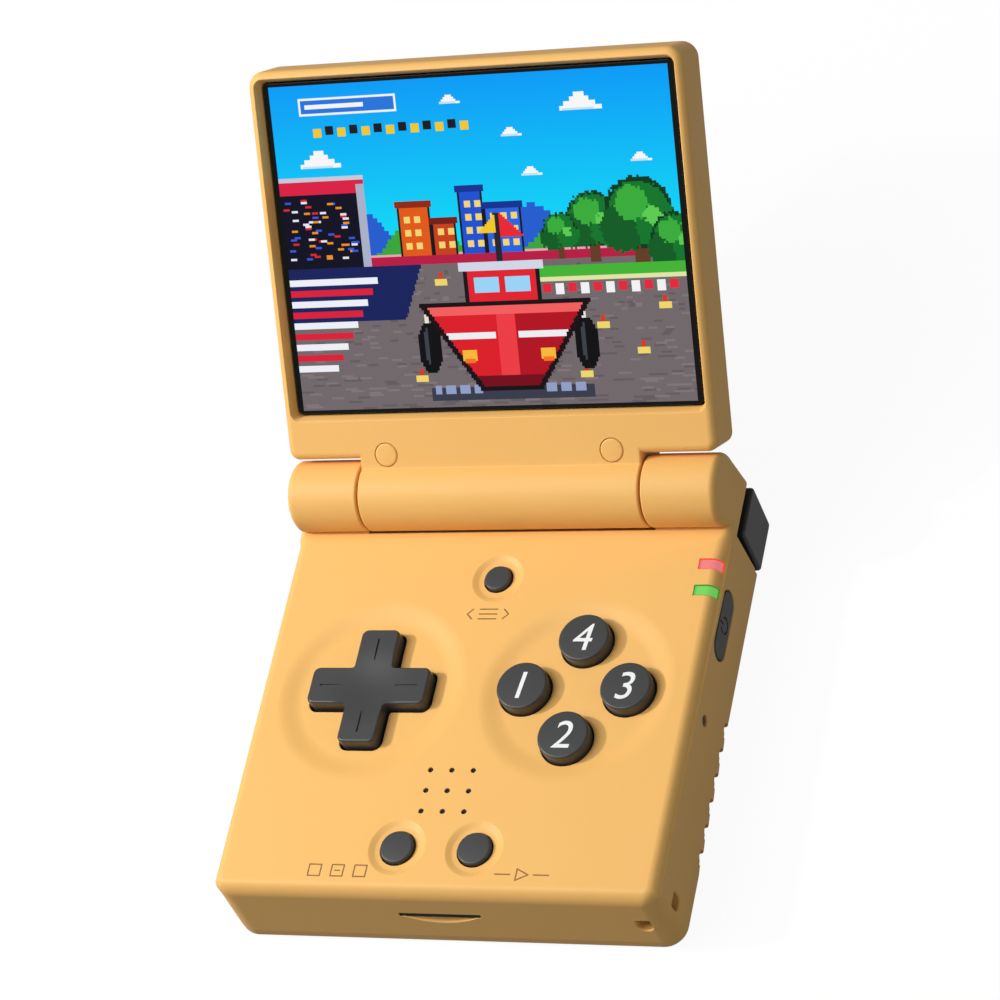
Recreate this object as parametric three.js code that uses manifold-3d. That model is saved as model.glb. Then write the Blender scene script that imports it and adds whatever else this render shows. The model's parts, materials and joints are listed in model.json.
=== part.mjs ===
// Clamshell handheld game console, standing on its base with the lid open.
// Millimetres, +X to the player's right, +Y to the hinge, +Z up.
// The origin is on the rest plane, midway between the base's front wall and its rear wall.
import * as THREE from 'three';
import { mergeVertices } from 'three/addons/utils/BufferGeometryUtils.js';
import Module from 'manifold-3d';

const wasm = await Module();
wasm.setup();

// Driving dimensions. "fromFront" is measured back from the base's front wall, "across" from its middle.
const body = {
  width: 85, depth: 74.6, faceHeight: 16.6, wall: 2, faceWall: 1.6, coverHeight: 2.6, coverFloor: 1.6,
  frontRadius: 3, endRadius: 2.8, coverRadius: 1.2, cornerRadius: 3, cavityRadius: 1.5,
};
const hinge = {
  setback: 5.5, rise: 3.8, radius: 6.6, knuckleWidth: 15.2, runGap: 0.4, openDegrees: 135,
  boreRadius: 3.4, boreDepth: 11.8, shaftRadius: 1.9, shaftReach: 7.5, shaftGrip: 11,
};
const lid = {
  closedGap: 0.4, frontStep: 1.15, sideStep: 0.7, slabGap: 0.8, edgeRadius: 1.5, cornerRadius: 3,
  blendRadius: 0.5, lowWall: 2, ledge: 1, coverThickness: 1.5, coverSeam: 0.3,
  tongueInset: 1.8, tongueDrop: 4.4, blendReach: 2,
};
const screen = {
  sideBorder: 3.35, topBorder: 3.05, footBorder: 9, recess: 1.9, slope: 0.6, border: 1, lowBorder: 0.7,
  lensThickness: 0.8, lensRadius: 1, panelThickness: 1.5, panelMargin: 0.1, trayThickness: 1.6,
  trayMargin: 0.9, trayGap: 0.35,
};
const board = { belowFace: 7.6, thickness: 1, margin: 2.1, tongueInset: 2.7, tongueEnd: 3.2 };
const fit = { gap: 0.3, overrun: 1 };
const smooth = { chord: 0.115, bevel: 3, least: 8 };

const front = -body.depth / 2;
const rear = body.depth / 2;
const halfWidth = body.width / 2;
const faceUnder = body.faceHeight - body.faceWall;
const hingeY = rear + hinge.setback;
const hingeZ = body.faceHeight + hinge.rise;
const backY = hingeY + hinge.radius;
const barrelHalf = halfWidth - hinge.knuckleWidth;
const boardLow = body.faceHeight - board.belowFace;
const boardTop = boardLow + board.thickness;

const paint = {
  shell: finish(0xf6bd6c, 0.5, 0),
  button: finish(0x4a4a4b, 0.45, 0),
  rubber: finish(0x8c8f92, 0.8, 0),
  steel: finish(0xb9bcc0, 0.35, 1),
  board: finish(0x1f5b3a, 0.6, 0),
  battery: finish(0x2f3338, 0.55, 0),
  lens: finish(0x08090b, 0.08, 0),
  display: finish(0x1a8fe0, 0.3, 0),
  black: finish(0x1b1c1e, 0.5, 0),
  red: finish(0xf08080, 0.3, 0),
  green: finish(0x7ddc64, 0.3, 0),
  ribbon: finish(0xb5722c, 0.5, 0),
};

function finish(color, roughness, metalness) {
  return new THREE.MeshStandardMaterial({ color, roughness, metalness });
}

// A closed three.js geometry as a solid that can be cut and joined.
function solid(geometry) {
  const plain = new THREE.BufferGeometry();
  const source = geometry.index ? geometry.toNonIndexed() : geometry;
  plain.setAttribute('position', source.getAttribute('position'));
  const merged = mergeVertices(plain, 1e-4);
  const corners = [];
  const index = merged.index.array;
  for (let i = 0; i < index.length; i += 3) {
    const [a, b, c] = index.slice(i, i + 3);
    if (a !== b && b !== c && c !== a) corners.push(a, b, c);
  }
  const vertProperties = new Float32Array(merged.attributes.position.array);
  const triVerts = new Uint32Array(corners);
  return new wasm.Manifold(new wasm.Mesh({ numProp: 3, vertProperties, triVerts }));
}

function named(name, shape, material) {
  const data = shape.getMesh();
  const geometry = new THREE.BufferGeometry();
  geometry.setAttribute('position', new THREE.BufferAttribute(new Float32Array(data.vertProperties), 3));
  geometry.setIndex(new THREE.BufferAttribute(new Uint32Array(data.triVerts), 1));
  geometry.computeVertexNormals();
  const mesh = new THREE.Mesh(geometry, material);
  mesh.name = name;
  return mesh;
}

// An outline drawn on the plane square to an axis, pushed along it from low to high.
// Square to x it is drawn in y and z, square to y in x and z, and square to z in x and y.
function prism(axis, outline, low, high, rounding = 0) {
  const geometry = new THREE.ExtrudeGeometry(outline, {
    depth: high - low - 2 * rounding,
    bevelEnabled: rounding > 0,
    bevelThickness: rounding,
    bevelSize: rounding,
    bevelOffset: -rounding,
    bevelSegments: smooth.bevel,
  });
  geometry.translate(0, 0, axis === 'y' ? rounding - high : rounding + low);
  return solid(geometry.applyMatrix4(drawnOn(axis)));
}

// The number of straight steps that keeps an arc within the chord error.
function stepsFor(radius, angle) {
  return Math.max(2, Math.ceil(Math.abs(angle) / Math.sqrt(8 * smooth.chord / radius)));
}

function sidesFor(radius) {
  return Math.max(smooth.least, 4 * Math.ceil(stepsFor(radius, 2 * Math.PI) / 4));
}

// Points along an arc, both ends included. Angles run from the drawing's right, anticlockwise.
function arc(x, y, radius, from, to, steps = stepsFor(radius, to - from)) {
  return Array.from({ length: steps + 1 }, (_, i) => {
    const angle = from + (to - from) * (i / steps);
    return [x + radius * Math.cos(angle), y + radius * Math.sin(angle)];
  });
}

function outlineOf(points) {
  return new THREE.Shape(points.map(([x, y]) => new THREE.Vector2(x, y)));
}

function drawnOn(axis) {
  const [x, y, z] = [new THREE.Vector3(1, 0, 0), new THREE.Vector3(0, 1, 0), new THREE.Vector3(0, 0, 1)];
  if (axis === 'x') return new THREE.Matrix4().makeBasis(y, z, x);
  if (axis === 'y') return new THREE.Matrix4().makeBasis(x, z, y.negate());
  return new THREE.Matrix4();
}

function block(x0, x1, y0, y1, z0, z1) {
  const geometry = new THREE.BoxGeometry(x1 - x0, y1 - y0, z1 - z0);
  return solid(geometry.translate((x0 + x1) / 2, (y0 + y1) / 2, (z0 + z1) / 2));
}

// A round bar along an axis, centred on the two other coordinates.
function rod(axis, radius, low, high, [a, b]) {
  const geometry = new THREE.CylinderGeometry(radius, radius, high - low, sidesFor(radius));
  const middle = (low + high) / 2;
  if (axis === 'x') return solid(geometry.rotateZ(-Math.PI / 2).translate(middle, a, b));
  if (axis === 'y') return solid(geometry.translate(a, middle, b));
  return solid(geometry.rotateX(Math.PI / 2).translate(a, b, middle));
}

// A round bar along x on one side of the middle, between two distances from it.
function sideRod(side, radius, from, to, spot) {
  return rod('x', radius, ...[side * from, side * to].sort((a, b) => a - b), spot);
}

// A profile of radius and height, from its low end on the axis up to its high end, turned about z.
function turnedAboutZ(profile, x, y) {
  const points = profile.map(([radius, height]) => new THREE.Vector2(radius, height));
  const sides = sidesFor(Math.max(...profile.map(([radius]) => radius)));
  return solid(new THREE.LatheGeometry(points, sides).rotateX(Math.PI / 2).translate(x, y, 0));
}

// A closed outline through corner points, every corner rounded.
function rounded(corners, radius, steps) {
  const points = corners.map(([x, y]) => new THREE.Vector2(x, y));
  return outlineOf(points.flatMap((corner, i) => {
    const toBefore = points.at(i - 1).clone().sub(corner).normalize();
    const toAfter = points[(i + 1) % points.length].clone().sub(corner).normalize();
    const halfAngle = Math.acos(toBefore.dot(toAfter)) / 2;
    const middle = toBefore.clone().add(toAfter).normalize();
    const centre = corner.clone().addScaledVector(middle, radius / Math.sin(halfAngle));
    const start = corner.clone().addScaledVector(toBefore, radius / Math.tan(halfAngle)).sub(centre);
    const end = corner.clone().addScaledVector(toAfter, radius / Math.tan(halfAngle)).sub(centre);
    const sweep = Math.atan2(start.cross(end), start.dot(end));
    return arc(centre.x, centre.y, radius, start.angle(), start.angle() + sweep, steps);
  }));
}

function roundedBox(x0, x1, y0, y1, radius, steps) {
  return rounded([[x0, y0], [x1, y0], [x1, y1], [x0, y1]], radius, steps);
}

// Two outlines with the same number of points, one at each height, joined by straight walls.
function taper(lowOutline, highOutline, low, high) {
  const from = lowOutline.getPoints();
  const to = highOutline.getPoints();
  const count = from.length;
  const cap = THREE.ShapeUtils.triangulateShape(from, []);
  const positions = [...from.map((p) => [p.x, p.y, low]), ...to.map((p) => [p.x, p.y, high])].flat();
  const index = [];
  cap.forEach(([a, b, c]) => index.push(c, b, a, a + count, b + count, c + count));
  from.forEach((_, i) => {
    const next = (i + 1) % count;
    index.push(i, next, next + count, i, next + count, i + count);
  });
  const geometry = new THREE.BufferGeometry();
  geometry.setAttribute('position', new THREE.Float32BufferAttribute(positions, 3));
  geometry.setIndex(index);
  return geometry;
}

// Base shells

// The base seen from the right: flat face, rounded front edge, and the round hinge knuckle at the back.
function sideProfile() {
  const below = -body.endRadius - fit.overrun;
  const meeting = Math.asin(hinge.rise / hinge.radius);
  const radius = body.frontRadius;
  return outlineOf([
    [front, below],
    [backY, below],
    ...arc(hingeY, hingeZ, hinge.radius, 0, Math.PI + meeting),
    ...arc(front + radius, body.faceHeight - radius, radius, Math.PI / 2, Math.PI),
  ]);
}

const sideRounding = Math.min(body.endRadius, body.frontRadius - fit.gap / 2);
const ports = {
  belowFace: 9.6, usbWidth: 8.9, usbHeight: 3.2, hdmiWidth: 11, hdmiHeight: 3.2, between: 1.7, edgeRoom: 3.9,
  depth: 7.4, sunk: 0.5, skin: 0.35, tongueThickness: 0.7, tongueMargin: 1.1, gap: 0.3, cornerRadius: 0.35,
};
const tongueHalf = (ports.hdmiWidth + ports.between + ports.usbWidth) / 2 + ports.edgeRoom;
const hdmiX = ports.edgeRoom + ports.hdmiWidth / 2 - tongueHalf;
const usbX = tongueHalf - ports.edgeRoom - ports.usbWidth / 2;
const shoulder = {
  topGap: 0.8, frontGap: 0.9, belowFace: 3.7, bottom: 0.3, backStep: 0.8, rounding: 0.9, cornerRadius: 1.6,
  proud: 0.4,
  skin: 1.4, rib: 0.8, ribGap: 0.4, ribReach: 5, pinSetback: 3, pinHeight: 4.6, pinRadius: 0.75, pinGap: 0.3,
  pinSeat: 1.8,
};
const ribMiddle = barrelHalf + hinge.runGap + shoulder.ribGap + shoulder.rib / 2;
const shoulderTop = body.faceHeight - shoulder.belowFace;
const knuckleUnder = shoulderTop + shoulder.topGap;

// The room inside the base, the same for the housing's underside and the cover's top.
function roomOutline() {
  const side = halfWidth - body.wall;
  const inTongue = tongueHalf - body.wall;
  return rounded([
    [-side, front + body.wall], [side, front + body.wall], [side, rear - body.wall],
    [inTongue, rear - body.wall], [inTongue, backY - body.wall], [-inTongue, backY - body.wall],
    [-inTongue, rear - body.wall], [-side, rear - body.wall],
  ], body.cavityRadius);
}

const screws = { inset: 8.5, rearInset: 9.5, frontSetback: 10, rearSetback: 6.5, boss: 2.8, bossGap: 0.3,
  headRadius: 1.9, headHeight: 1.3, shankRadius: 1, sunk: 0.6, endBelowFace: 3.4 };
const screwEnd = body.faceHeight - screws.endBelowFace;
const bossLow = boardTop + screws.bossGap;
const screwSpots = [
  ['front_left', -halfWidth + screws.inset, front + screws.frontSetback],
  ['front_right', halfWidth - screws.inset, front + screws.frontSetback],
  ['rear_left', -halfWidth + screws.rearInset, rear - screws.rearSetback],
  ['rear_right', halfWidth - screws.rearInset, rear - screws.rearSetback],
];

const strap = { inner: 3.9, outer: 6.5, belowFace: 6.4, height: 3.2, wall: 1.8, sweepOver: 0.2 };

function strapChannel() {
  const [from, to] = [Math.PI / 2 - strap.sweepOver, Math.PI + strap.sweepOver];
  const outline = outlineOf([
    ...arc(halfWidth, front, strap.outer, from, to),
    ...arc(halfWidth, front, strap.inner, to, from),
  ]);
  const high = body.faceHeight - strap.belowFace;
  return prism('z', outline, high - strap.height, high);
}

const slot = { across: 0.75, width: 15.5, belowFace: 5.7, opening: 0.9, scoopDrop: 2.9, scoopDepth: 1,
  scoopSteps: 10, floorShare: 0.25 };
const slotHeight = body.faceHeight - slot.belowFace;

// A half-moon below the card slot, as a finger-nail relief that slopes in towards the slot.
function scoopOutline(drop) {
  const half = slot.width / 2;
  const radius = (half * half + drop * drop) / (2 * drop);
  const lean = Math.asin(half / radius);
  const steps = slot.scoopSteps;
  const curve = Array.from({ length: steps + 1 }, (_, i) => {
    const angle = -Math.PI / 2 + lean * (2 * (i / steps) - 1);
    return [slot.across + radius * Math.cos(angle), slotHeight - drop + radius * (1 + Math.sin(angle))];
  });
  const top = slotHeight + slot.opening / 2;
  return outlineOf([...curve, [slot.across + half, top], [slot.across - half, top]]);
}

function cardSlot() {
  const half = slot.width / 2;
  const opening = block(slot.across - half, slot.across + half, front - fit.overrun,
    front + body.wall + fit.overrun, slotHeight - slot.opening / 2, slotHeight + slot.opening / 2);
  const growing = slot.scoopDrop * (1 + (1 - slot.floorShare) * fit.overrun / slot.scoopDepth);
  const scoop = taper(scoopOutline(slot.scoopDrop * slot.floorShare), scoopOutline(growing),
    -front - slot.scoopDepth, -front + fit.overrun);
  return opening.add(solid(scoop.applyMatrix4(drawnOn('y'))));
}

const dPad = {
  fromSide: 22.7, fromFront: 41.3, span: 23, arm: 7.4, proud: 1.75, hole: 0.5, cornerRadius: 1.3,
  rounding: 0.5, discRadius: 7, discBelowFace: 2.4, discThickness: 0.8, rockGap: 0.6, ballRadius: 1.6, dimple: 0.35,
};
const faceButton = {
  fromSide: 22.96, fromFront: 41.43, ring: 9.77, radius: 4.7, proud: 1.7, edge: 0.45, crown: 0.1,
  flangeRadius: 5.6, flange: 0.8, plungerRadius: 2.2, plunger: 0.3,
};
const smallButton = {
  radius: 3.1, proud: 0.3, edge: 0.3, crown: 0.1, flangeRadius: 3.8, flange: 0.8, plungerRadius: 1.5,
  plunger: 0.3, collarRadius: 5.45, collarFloor: 4.25, collarDepth: 0.5,
};
const menuButton = { ...smallButton, radius: 2.5, flangeRadius: 3.3, collarRadius: 4.95, collarFloor: 3.75 };
const menuSpot = { across: -0.24, fromRear: 10.2 };
const startSpot = { middle: -0.3, across: 7.3, fromFront: 9.95 };
const dish = { radius: 18.5, floorRadius: 14.3, depth: 0.45 };
const dPadX = dPad.fromSide - halfWidth;
const faceX = halfWidth - faceButton.fromSide;
const discTop = body.faceHeight - dPad.discBelowFace;
const dPadY = front + dPad.fromFront;
const faceY = front + faceButton.fromFront;
const menuY = rear - menuSpot.fromRear;
const startY = front + startSpot.fromFront;
const faceSpots = [
  ['right_button', faceX + faceButton.ring, faceY],
  ['upper_button', faceX, faceY + faceButton.ring],
  ['left_button', faceX - faceButton.ring, faceY],
  ['lower_button', faceX, faceY - faceButton.ring],
];
const smallSpots = [
  ['menu_button', menuSpot.across, menuY, menuButton],
  ['select_button', startSpot.middle - startSpot.across, startY, smallButton],
  ['start_button', startSpot.middle + startSpot.across, startY, smallButton],
];

// A shallow round hollow in the control face with a sloping rim.
function hollow(x, y, rimRadius, floorRadius, depth) {
  const floor = body.faceHeight - depth;
  const profile = [[0, floor], [floorRadius, floor], [rimRadius, body.faceHeight],
    [rimRadius, body.faceHeight + fit.overrun], [0, body.faceHeight + fit.overrun]];
  return turnedAboutZ(profile, x, y);
}

function crossOutline(x, y, span, arm, radius) {
  const [far, near] = [span / 2, arm / 2];
  const quarter = [[far, -near], [far, near], [near, near]];
  const corners = [0, 1, 2, 3].flatMap((turns) => quarter.map(([a, b]) => {
    const point = new THREE.Vector2(a, b).rotateAround(new THREE.Vector2(), turns * Math.PI / 2);
    return [x + point.x, y + point.y];
  }));
  return rounded(corners, radius);
}

const speaker = { across: -0.57, fromFront: 21.2, pitch: 4.07, hole: 0.5, count: 3, radius: 7, depth: 3.2,
  frameRadius: 5.6, ringWall: 1, ringDepth: 1.8, coneRadius: 3 };
const speakerY = front + speaker.fromFront;

function speakerHoles() {
  const middle = (speaker.count - 1) / 2;
  const holes = [];
  for (let row = 0; row < speaker.count; row += 1) {
    for (let column = 0; column < speaker.count; column += 1) {
      const [x, y] = [(column - middle) * speaker.pitch, (row - middle) * speaker.pitch];
      const spot = [speaker.across + x, speakerY + y];
      holes.push(rod('z', speaker.hole, faceUnder - fit.overrun, body.faceHeight + fit.overrun, spot));
    }
  }
  return joined(holes);
}

function joined(shapes) {
  return shapes.reduce((whole, shape) => whole.add(shape));
}

const power = { fromRear: 17.4, belowFace: 6, length: 12.9, width: 4.8, proud: 0.1, edge: 0.3, gap: 0.3,
  flange: 0.8, flangeOver: 0.8, travel: 0.5 };
const volume = { fromRear: 17.4, belowFace: 6, length: 15, width: 4.2, proud: 0.5, edge: 0.5, gap: 0.35,
  flange: 0.8, flangeOver: 0.8, travel: 0.3 };
const reset = { fromRear: 35.8, belowFace: 6, holeRadius: 1.15, pinRadius: 0.85, sunk: 0.7,
  flangeRadius: 1.8, flange: 0.6, travel: 0.3 };

function heightOf(control) {
  return body.faceHeight - control.belowFace;
}

// A slot outline with half-round ends, long way across.
function stadium(across, up, length, width) {
  const radius = width / 2;
  const reach = length / 2 - radius;
  return outlineOf([
    ...arc(across + reach, up, radius, -Math.PI / 2, Math.PI / 2),
    ...arc(across - reach, up, radius, Math.PI / 2, 1.5 * Math.PI),
  ]);
}

const led = { width: 2.2, topReach: 5, turn: 0.3 * Math.PI, thickness: 1, stem: 1.4, redFromRear: 7.5,
  greenFromRear: 12.9 };

// A band that follows the base's top right edge, from the face to a little way round the edge.
function edgeBand(outerStep, innerStep, y, width) {
  const outer = sideRounding + outerStep;
  const inner = sideRounding - led.thickness - innerStep;
  const centre = [halfWidth - sideRounding, body.faceHeight - sideRounding];
  const startX = halfWidth - led.topReach;
  const end = Math.PI / 2 - led.turn;
  const outline = outlineOf([
    [startX, centre[1] + inner],
    ...arc(...centre, inner, Math.PI / 2, end),
    ...arc(...centre, outer, end, Math.PI / 2),
    [startX, centre[1] + outer],
  ]);
  return prism('y', outline, y - width / 2, y + width / 2);
}

function lightGuide(fromRear) {
  const y = rear - fromRear;
  const x = halfWidth - led.topReach;
  const stem = block(x, x + led.stem, y - led.width / 2, y + led.width / 2, boardTop,
    body.faceHeight - led.thickness / 2);
  return edgeBand(0, 0, y, led.width).add(stem);
}

function lightGuideSlot(fromRear) {
  const y = rear - fromRear;
  const x = halfWidth - led.topReach;
  const stem = block(x, x + led.stem + fit.gap, y - led.width / 2, y + led.width / 2,
    faceUnder - fit.overrun, body.faceHeight + fit.overrun);
  return edgeBand(fit.overrun, fit.gap, y, led.width).add(stem);
}

const audio = { fromFront: 19, floorGap: 2.1, bore: 1.75, collarRadius: 2.5, collarGap: 0.3, bodyWidth: 6,
  bodyHeight: 5, bodyDepth: 11, sunk: 0.2, boreDepth: 9 };

const portHeight = heightOf(ports);
const audioHeight = body.coverFloor + audio.floorGap + audio.bodyHeight / 2;

function portCuts() {
  const high = backY + fit.overrun;
  const low = backY - body.wall - fit.overrun;
  const usb = prism('y', stadium(usbX, portHeight, ports.usbWidth + 2 * ports.gap,
    ports.usbHeight + 2 * ports.gap), low, high);
  return usb.add(prism('y', hdmiOutline(ports.gap), low, high));
}

function hdmiOutline(grow) {
  const half = ports.hdmiWidth / 2 + grow;
  const middle = portHeight;
  const [low, high] = [middle - ports.hdmiHeight / 2 - grow, middle + ports.hdmiHeight / 2 + grow];
  const foot = half - ports.hdmiHeight / 3;
  const corners = [[-foot, low], [foot, low], [half, middle], [half, high], [-half, high], [-half, middle]];
  return rounded(corners.map(([x, z]) => [x + hdmiX, z]), ports.cornerRadius);
}

function frontHousing() {
  const above = block(-body.width, body.width, front - fit.overrun, backY + fit.overrun, body.coverHeight,
    hingeZ + hinge.radius + fit.overrun);
  const envelope = prism('x', sideProfile(), -halfWidth, halfWidth, sideRounding);
  let shell = envelope.intersect(above);
  shell = shell.subtract(prism('z', roomOutline(), body.coverHeight - fit.overrun, faceUnder));
  shell = shell.add(tongueRoof());
  shell = shell.add(joined(screwSpots.map(([, x, y]) => (
    rod('z', screws.boss, bossLow, faceUnder + fit.gap, [x, y])))));
  const post = rod('z', strap.outer + strap.wall, body.coverHeight, faceUnder + fit.gap, [halfWidth, front]);
  shell = shell.add(post.intersect(envelope));
  shell = shell.add(speakerRing());
  shell = shell.subtract(shoulderRecess(1)).subtract(shoulderRecess(-1));
  shell = shell.add(shoulderRib(1)).add(shoulderRib(-1));
  shell = shell.subtract(barrelCradle());
  return shell.subtract(joined([...faceCuts(), ...wallCuts()]));
}

function tongueRoof() {
  const roof = hingeZ - hinge.radius - hinge.runGap;
  return block(-tongueHalf + fit.gap, tongueHalf - fit.gap, rear - fit.gap, backY - fit.gap,
    roof - body.wall, roof);
}

function speakerRing() {
  const spot = [speaker.across, speakerY];
  const inner = speaker.radius + fit.gap;
  const ring = rod('z', inner + speaker.ringWall, faceUnder - speaker.ringDepth, faceUnder + fit.gap, spot);
  return ring.subtract(rod('z', inner, faceUnder - speaker.ringDepth - fit.overrun, faceUnder, spot));
}

// The corner under each knuckle that holds a pair of shoulder buttons.
function shoulderRecess(side) {
  const reach = [side * tongueHalf, side * (halfWidth + fit.overrun)].sort((a, b) => a - b);
  return block(...reach, rear, backY + fit.overrun, -fit.overrun, knuckleUnder);
}

function shoulderRib(side) {
  const reach = [side * ribMiddle - shoulder.rib / 2, side * ribMiddle + shoulder.rib / 2];
  return block(...reach, rear - fit.gap, rear + shoulder.ribReach, body.coverHeight, knuckleUnder + fit.gap);
}

// Room for the lid's barrel: round under it, open above and behind.
function barrelCradle() {
  const half = barrelHalf + hinge.runGap;
  const radius = hinge.radius + hinge.runGap;
  const round = rod('x', radius, -half, half, [hingeY, hingeZ]);
  const open = block(-half, half, hingeY, backY + fit.overrun, hingeZ - radius,
    hingeZ + radius + fit.overrun);
  return round.add(open);
}

function faceCuts() {
  const through = [faceUnder - fit.overrun, body.faceHeight + fit.overrun];
  const cuts = [
    hollow(dPadX, dPadY, dish.radius, dish.floorRadius, dish.depth),
    hollow(faceX, faceY, dish.radius, dish.floorRadius, dish.depth),
    prism('z', crossOutline(dPadX, dPadY, dPad.span + 2 * dPad.hole, dPad.arm + 2 * dPad.hole,
      dPad.cornerRadius + dPad.hole), ...through),
    speakerHoles(),
  ];
  faceSpots.forEach(([, x, y]) => cuts.push(rod('z', faceButton.radius + fit.gap, ...through, [x, y])));
  smallSpots.forEach(([, x, y, key]) => {
    cuts.push(rod('z', key.radius + fit.gap, ...through, [x, y]));
    cuts.push(hollow(x, y, key.collarRadius, key.collarFloor, key.collarDepth));
  });
  return cuts;
}

function wallCuts() {
  const outside = halfWidth + fit.overrun;
  const inside = halfWidth - body.wall - fit.overrun;
  const resetSpot = [rear - reset.fromRear, heightOf(reset)];
  const audioSpot = [front + audio.fromFront, audioHeight];
  const cuts = [
    strapChannel(),
    cardSlot(),
    portCuts(),
    lightGuideSlot(led.redFromRear),
    lightGuideSlot(led.greenFromRear),
    prism('x', sideHole(power), inside, outside),
    prism('x', sideHole(volume), -outside, -inside),
    rod('x', reset.holeRadius, inside, outside, resetSpot),
    rod('x', audio.collarRadius + audio.collarGap, -outside, -inside, audioSpot),
  ];
  screwSpots.forEach(([, x, y]) => {
    cuts.push(rod('z', screws.shankRadius + fit.gap, bossLow - fit.overrun, screwEnd + fit.gap,
      [x, y]));
  });
  [-1, 1].forEach((side) => {
    cuts.push(sideRod(side, hinge.boreRadius, barrelHalf - fit.overrun, barrelHalf + hinge.boreDepth,
      [hingeY, hingeZ]));
    cuts.push(shoulderPinBore(side, tongueHalf - shoulder.pinSeat - fit.gap));
  });
  return cuts;
}

function sideHole(control) {
  return stadium(rear - control.fromRear, heightOf(control), control.length + 2 * control.gap,
    control.width + 2 * control.gap);
}

const pinY = rear + shoulder.pinSetback;

function shoulderPinBore(side, from) {
  const to = halfWidth - shoulder.skin + fit.gap;
  return sideRod(side, shoulder.pinRadius + shoulder.pinGap, from, to, [pinY, shoulder.pinHeight]);
}

const notch = { count: 6, pitch: 5.05, firstFromFront: 19, radius: 1.9, depth: 1.1, rise: 0.15 };

function edgeNotches() {
  const cuts = [];
  for (let i = 0; i < notch.count; i += 1) {
    const spot = [front + notch.firstFromFront + i * notch.pitch, notch.rise];
    cuts.push(rod('x', notch.radius, halfWidth - notch.depth, halfWidth + fit.overrun, spot));
    cuts.push(rod('x', notch.radius, -halfWidth - fit.overrun, -halfWidth + notch.depth, spot));
  }
  return joined(cuts);
}

function footprint() {
  const radius = body.cornerRadius;
  return outlineOf([
    ...arc(-halfWidth + radius, front + radius, radius, Math.PI, 1.5 * Math.PI),
    ...arc(halfWidth - radius, front + radius, radius, 1.5 * Math.PI, 2 * Math.PI),
    [halfWidth, rear], [tongueHalf, rear], [tongueHalf, backY],
    [-tongueHalf, backY], [-tongueHalf, rear], [-halfWidth, rear],
  ]);
}

function rearCover() {
  const slab = prism('z', footprint(), 0, body.coverHeight + 2 * body.coverRadius, body.coverRadius);
  const kept = block(-halfWidth, halfWidth, front, backY, 0, body.coverHeight);
  let cover = slab.intersect(kept);
  cover = cover.subtract(prism('z', roomOutline(), body.coverFloor, body.coverHeight + fit.overrun));
  const bossTop = boardLow - fit.gap;
  cover = cover.add(joined(screwSpots.map(([, x, y]) => (
    rod('z', screws.boss, body.coverFloor - fit.gap, bossTop, [x, y])))));
  screwSpots.forEach(([, x, y]) => {
    cover = cover.subtract(rod('z', screws.shankRadius + fit.gap, 0, bossTop + fit.overrun, [x, y]));
    cover = cover.subtract(rod('z', screws.headRadius + fit.gap, -fit.overrun,
      screws.sunk + screws.headHeight + fit.gap, [x, y]));
  });
  return cover.add(batteryRibs()).subtract(edgeNotches());
}

const battery = { sideRoom: 14.5, frontRoom: 8, rearRoom: 14.6, topRoom: 1.6, radius: 1.5, rib: 1,
  ribHeight: 2.4 };
const batteryHalf = halfWidth - battery.sideRoom;
const batteryEnds = [front + battery.frontRoom, rear - battery.rearRoom];

// Two low ribs on the cover's floor that keep the battery in place.
function batteryRibs() {
  const ribs = [-1, 1].map((side, i) => {
    const inner = batteryEnds[i] + side * fit.gap;
    const span = [inner, inner + side * battery.rib].sort((a, b) => a - b);
    return block(-batteryHalf, batteryHalf, ...span, body.coverFloor - fit.gap,
      body.coverFloor + battery.ribHeight);
  });
  return joined(ribs);
}

function batteryPack() {
  const outline = roundedBox(-batteryHalf, batteryHalf, ...batteryEnds, battery.radius);
  return prism('z', outline, body.coverFloor + fit.gap, boardLow - battery.topRoom);
}

// Base inner parts

function mainBoard() {
  const side = halfWidth - body.wall - board.margin;
  const inTongue = tongueHalf - board.tongueInset;
  const end = backY - body.wall - board.tongueEnd;
  const outline = rounded([
    [-side, front + body.wall + fit.overrun], [side - strap.outer, front + body.wall + fit.overrun],
    [side, front + body.wall + strap.outer + fit.overrun], [side, rear - body.wall - fit.overrun],
    [inTongue, rear - body.wall - fit.overrun], [inTongue, end], [-inTongue, end],
    [-inTongue, rear - body.wall - fit.overrun], [-side, rear - body.wall - fit.overrun],
  ], fit.overrun);
  let plate = prism('z', outline, boardLow, boardTop);
  screwSpots.forEach(([, x, y]) => {
    plate = plate.subtract(rod('z', screws.shankRadius + fit.gap, boardLow - fit.overrun,
      boardTop + fit.overrun, [x, y]));
  });
  const jack = front + audio.fromFront;
  const jackEnd = -halfWidth + body.wall + audio.bodyDepth + fit.gap * 2;
  return plate.subtract(block(-halfWidth, jackEnd, jack - audio.bodyWidth / 2 - fit.gap,
    jack + audio.bodyWidth / 2 + fit.gap, boardLow - fit.overrun, boardTop + fit.overrun));
}

const mat = { plate: 0.7, domeFoot: 2.6, domeHead: 2, domeHeight: 2.5, margin: 1.6, cornerRadius: 2,
  postRadius: 1.8, bridge: 0.4, foot: 2.6, depth: 7 };

const domeTop = boardTop + mat.domeHeight;

function dome(x, y, seat, top) {
  return turnedAboutZ([[0, seat], [mat.domeFoot, seat], [mat.domeHead, top], [0, top]], x, y);
}

// Silicone sheets with a dome under each key.
function keyMat(spots, reach) {
  const xs = spots.map(([x]) => x);
  const ys = spots.map(([, y]) => y);
  const outline = roundedBox(Math.min(...xs) - reach, Math.max(...xs) + reach, Math.min(...ys) - reach,
    Math.max(...ys) + reach, mat.cornerRadius);
  const plate = prism('z', outline, boardTop, boardTop + mat.plate);
  return plate.add(joined(spots.map(([x, y]) => dome(x, y, boardTop, domeTop))));
}

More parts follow.
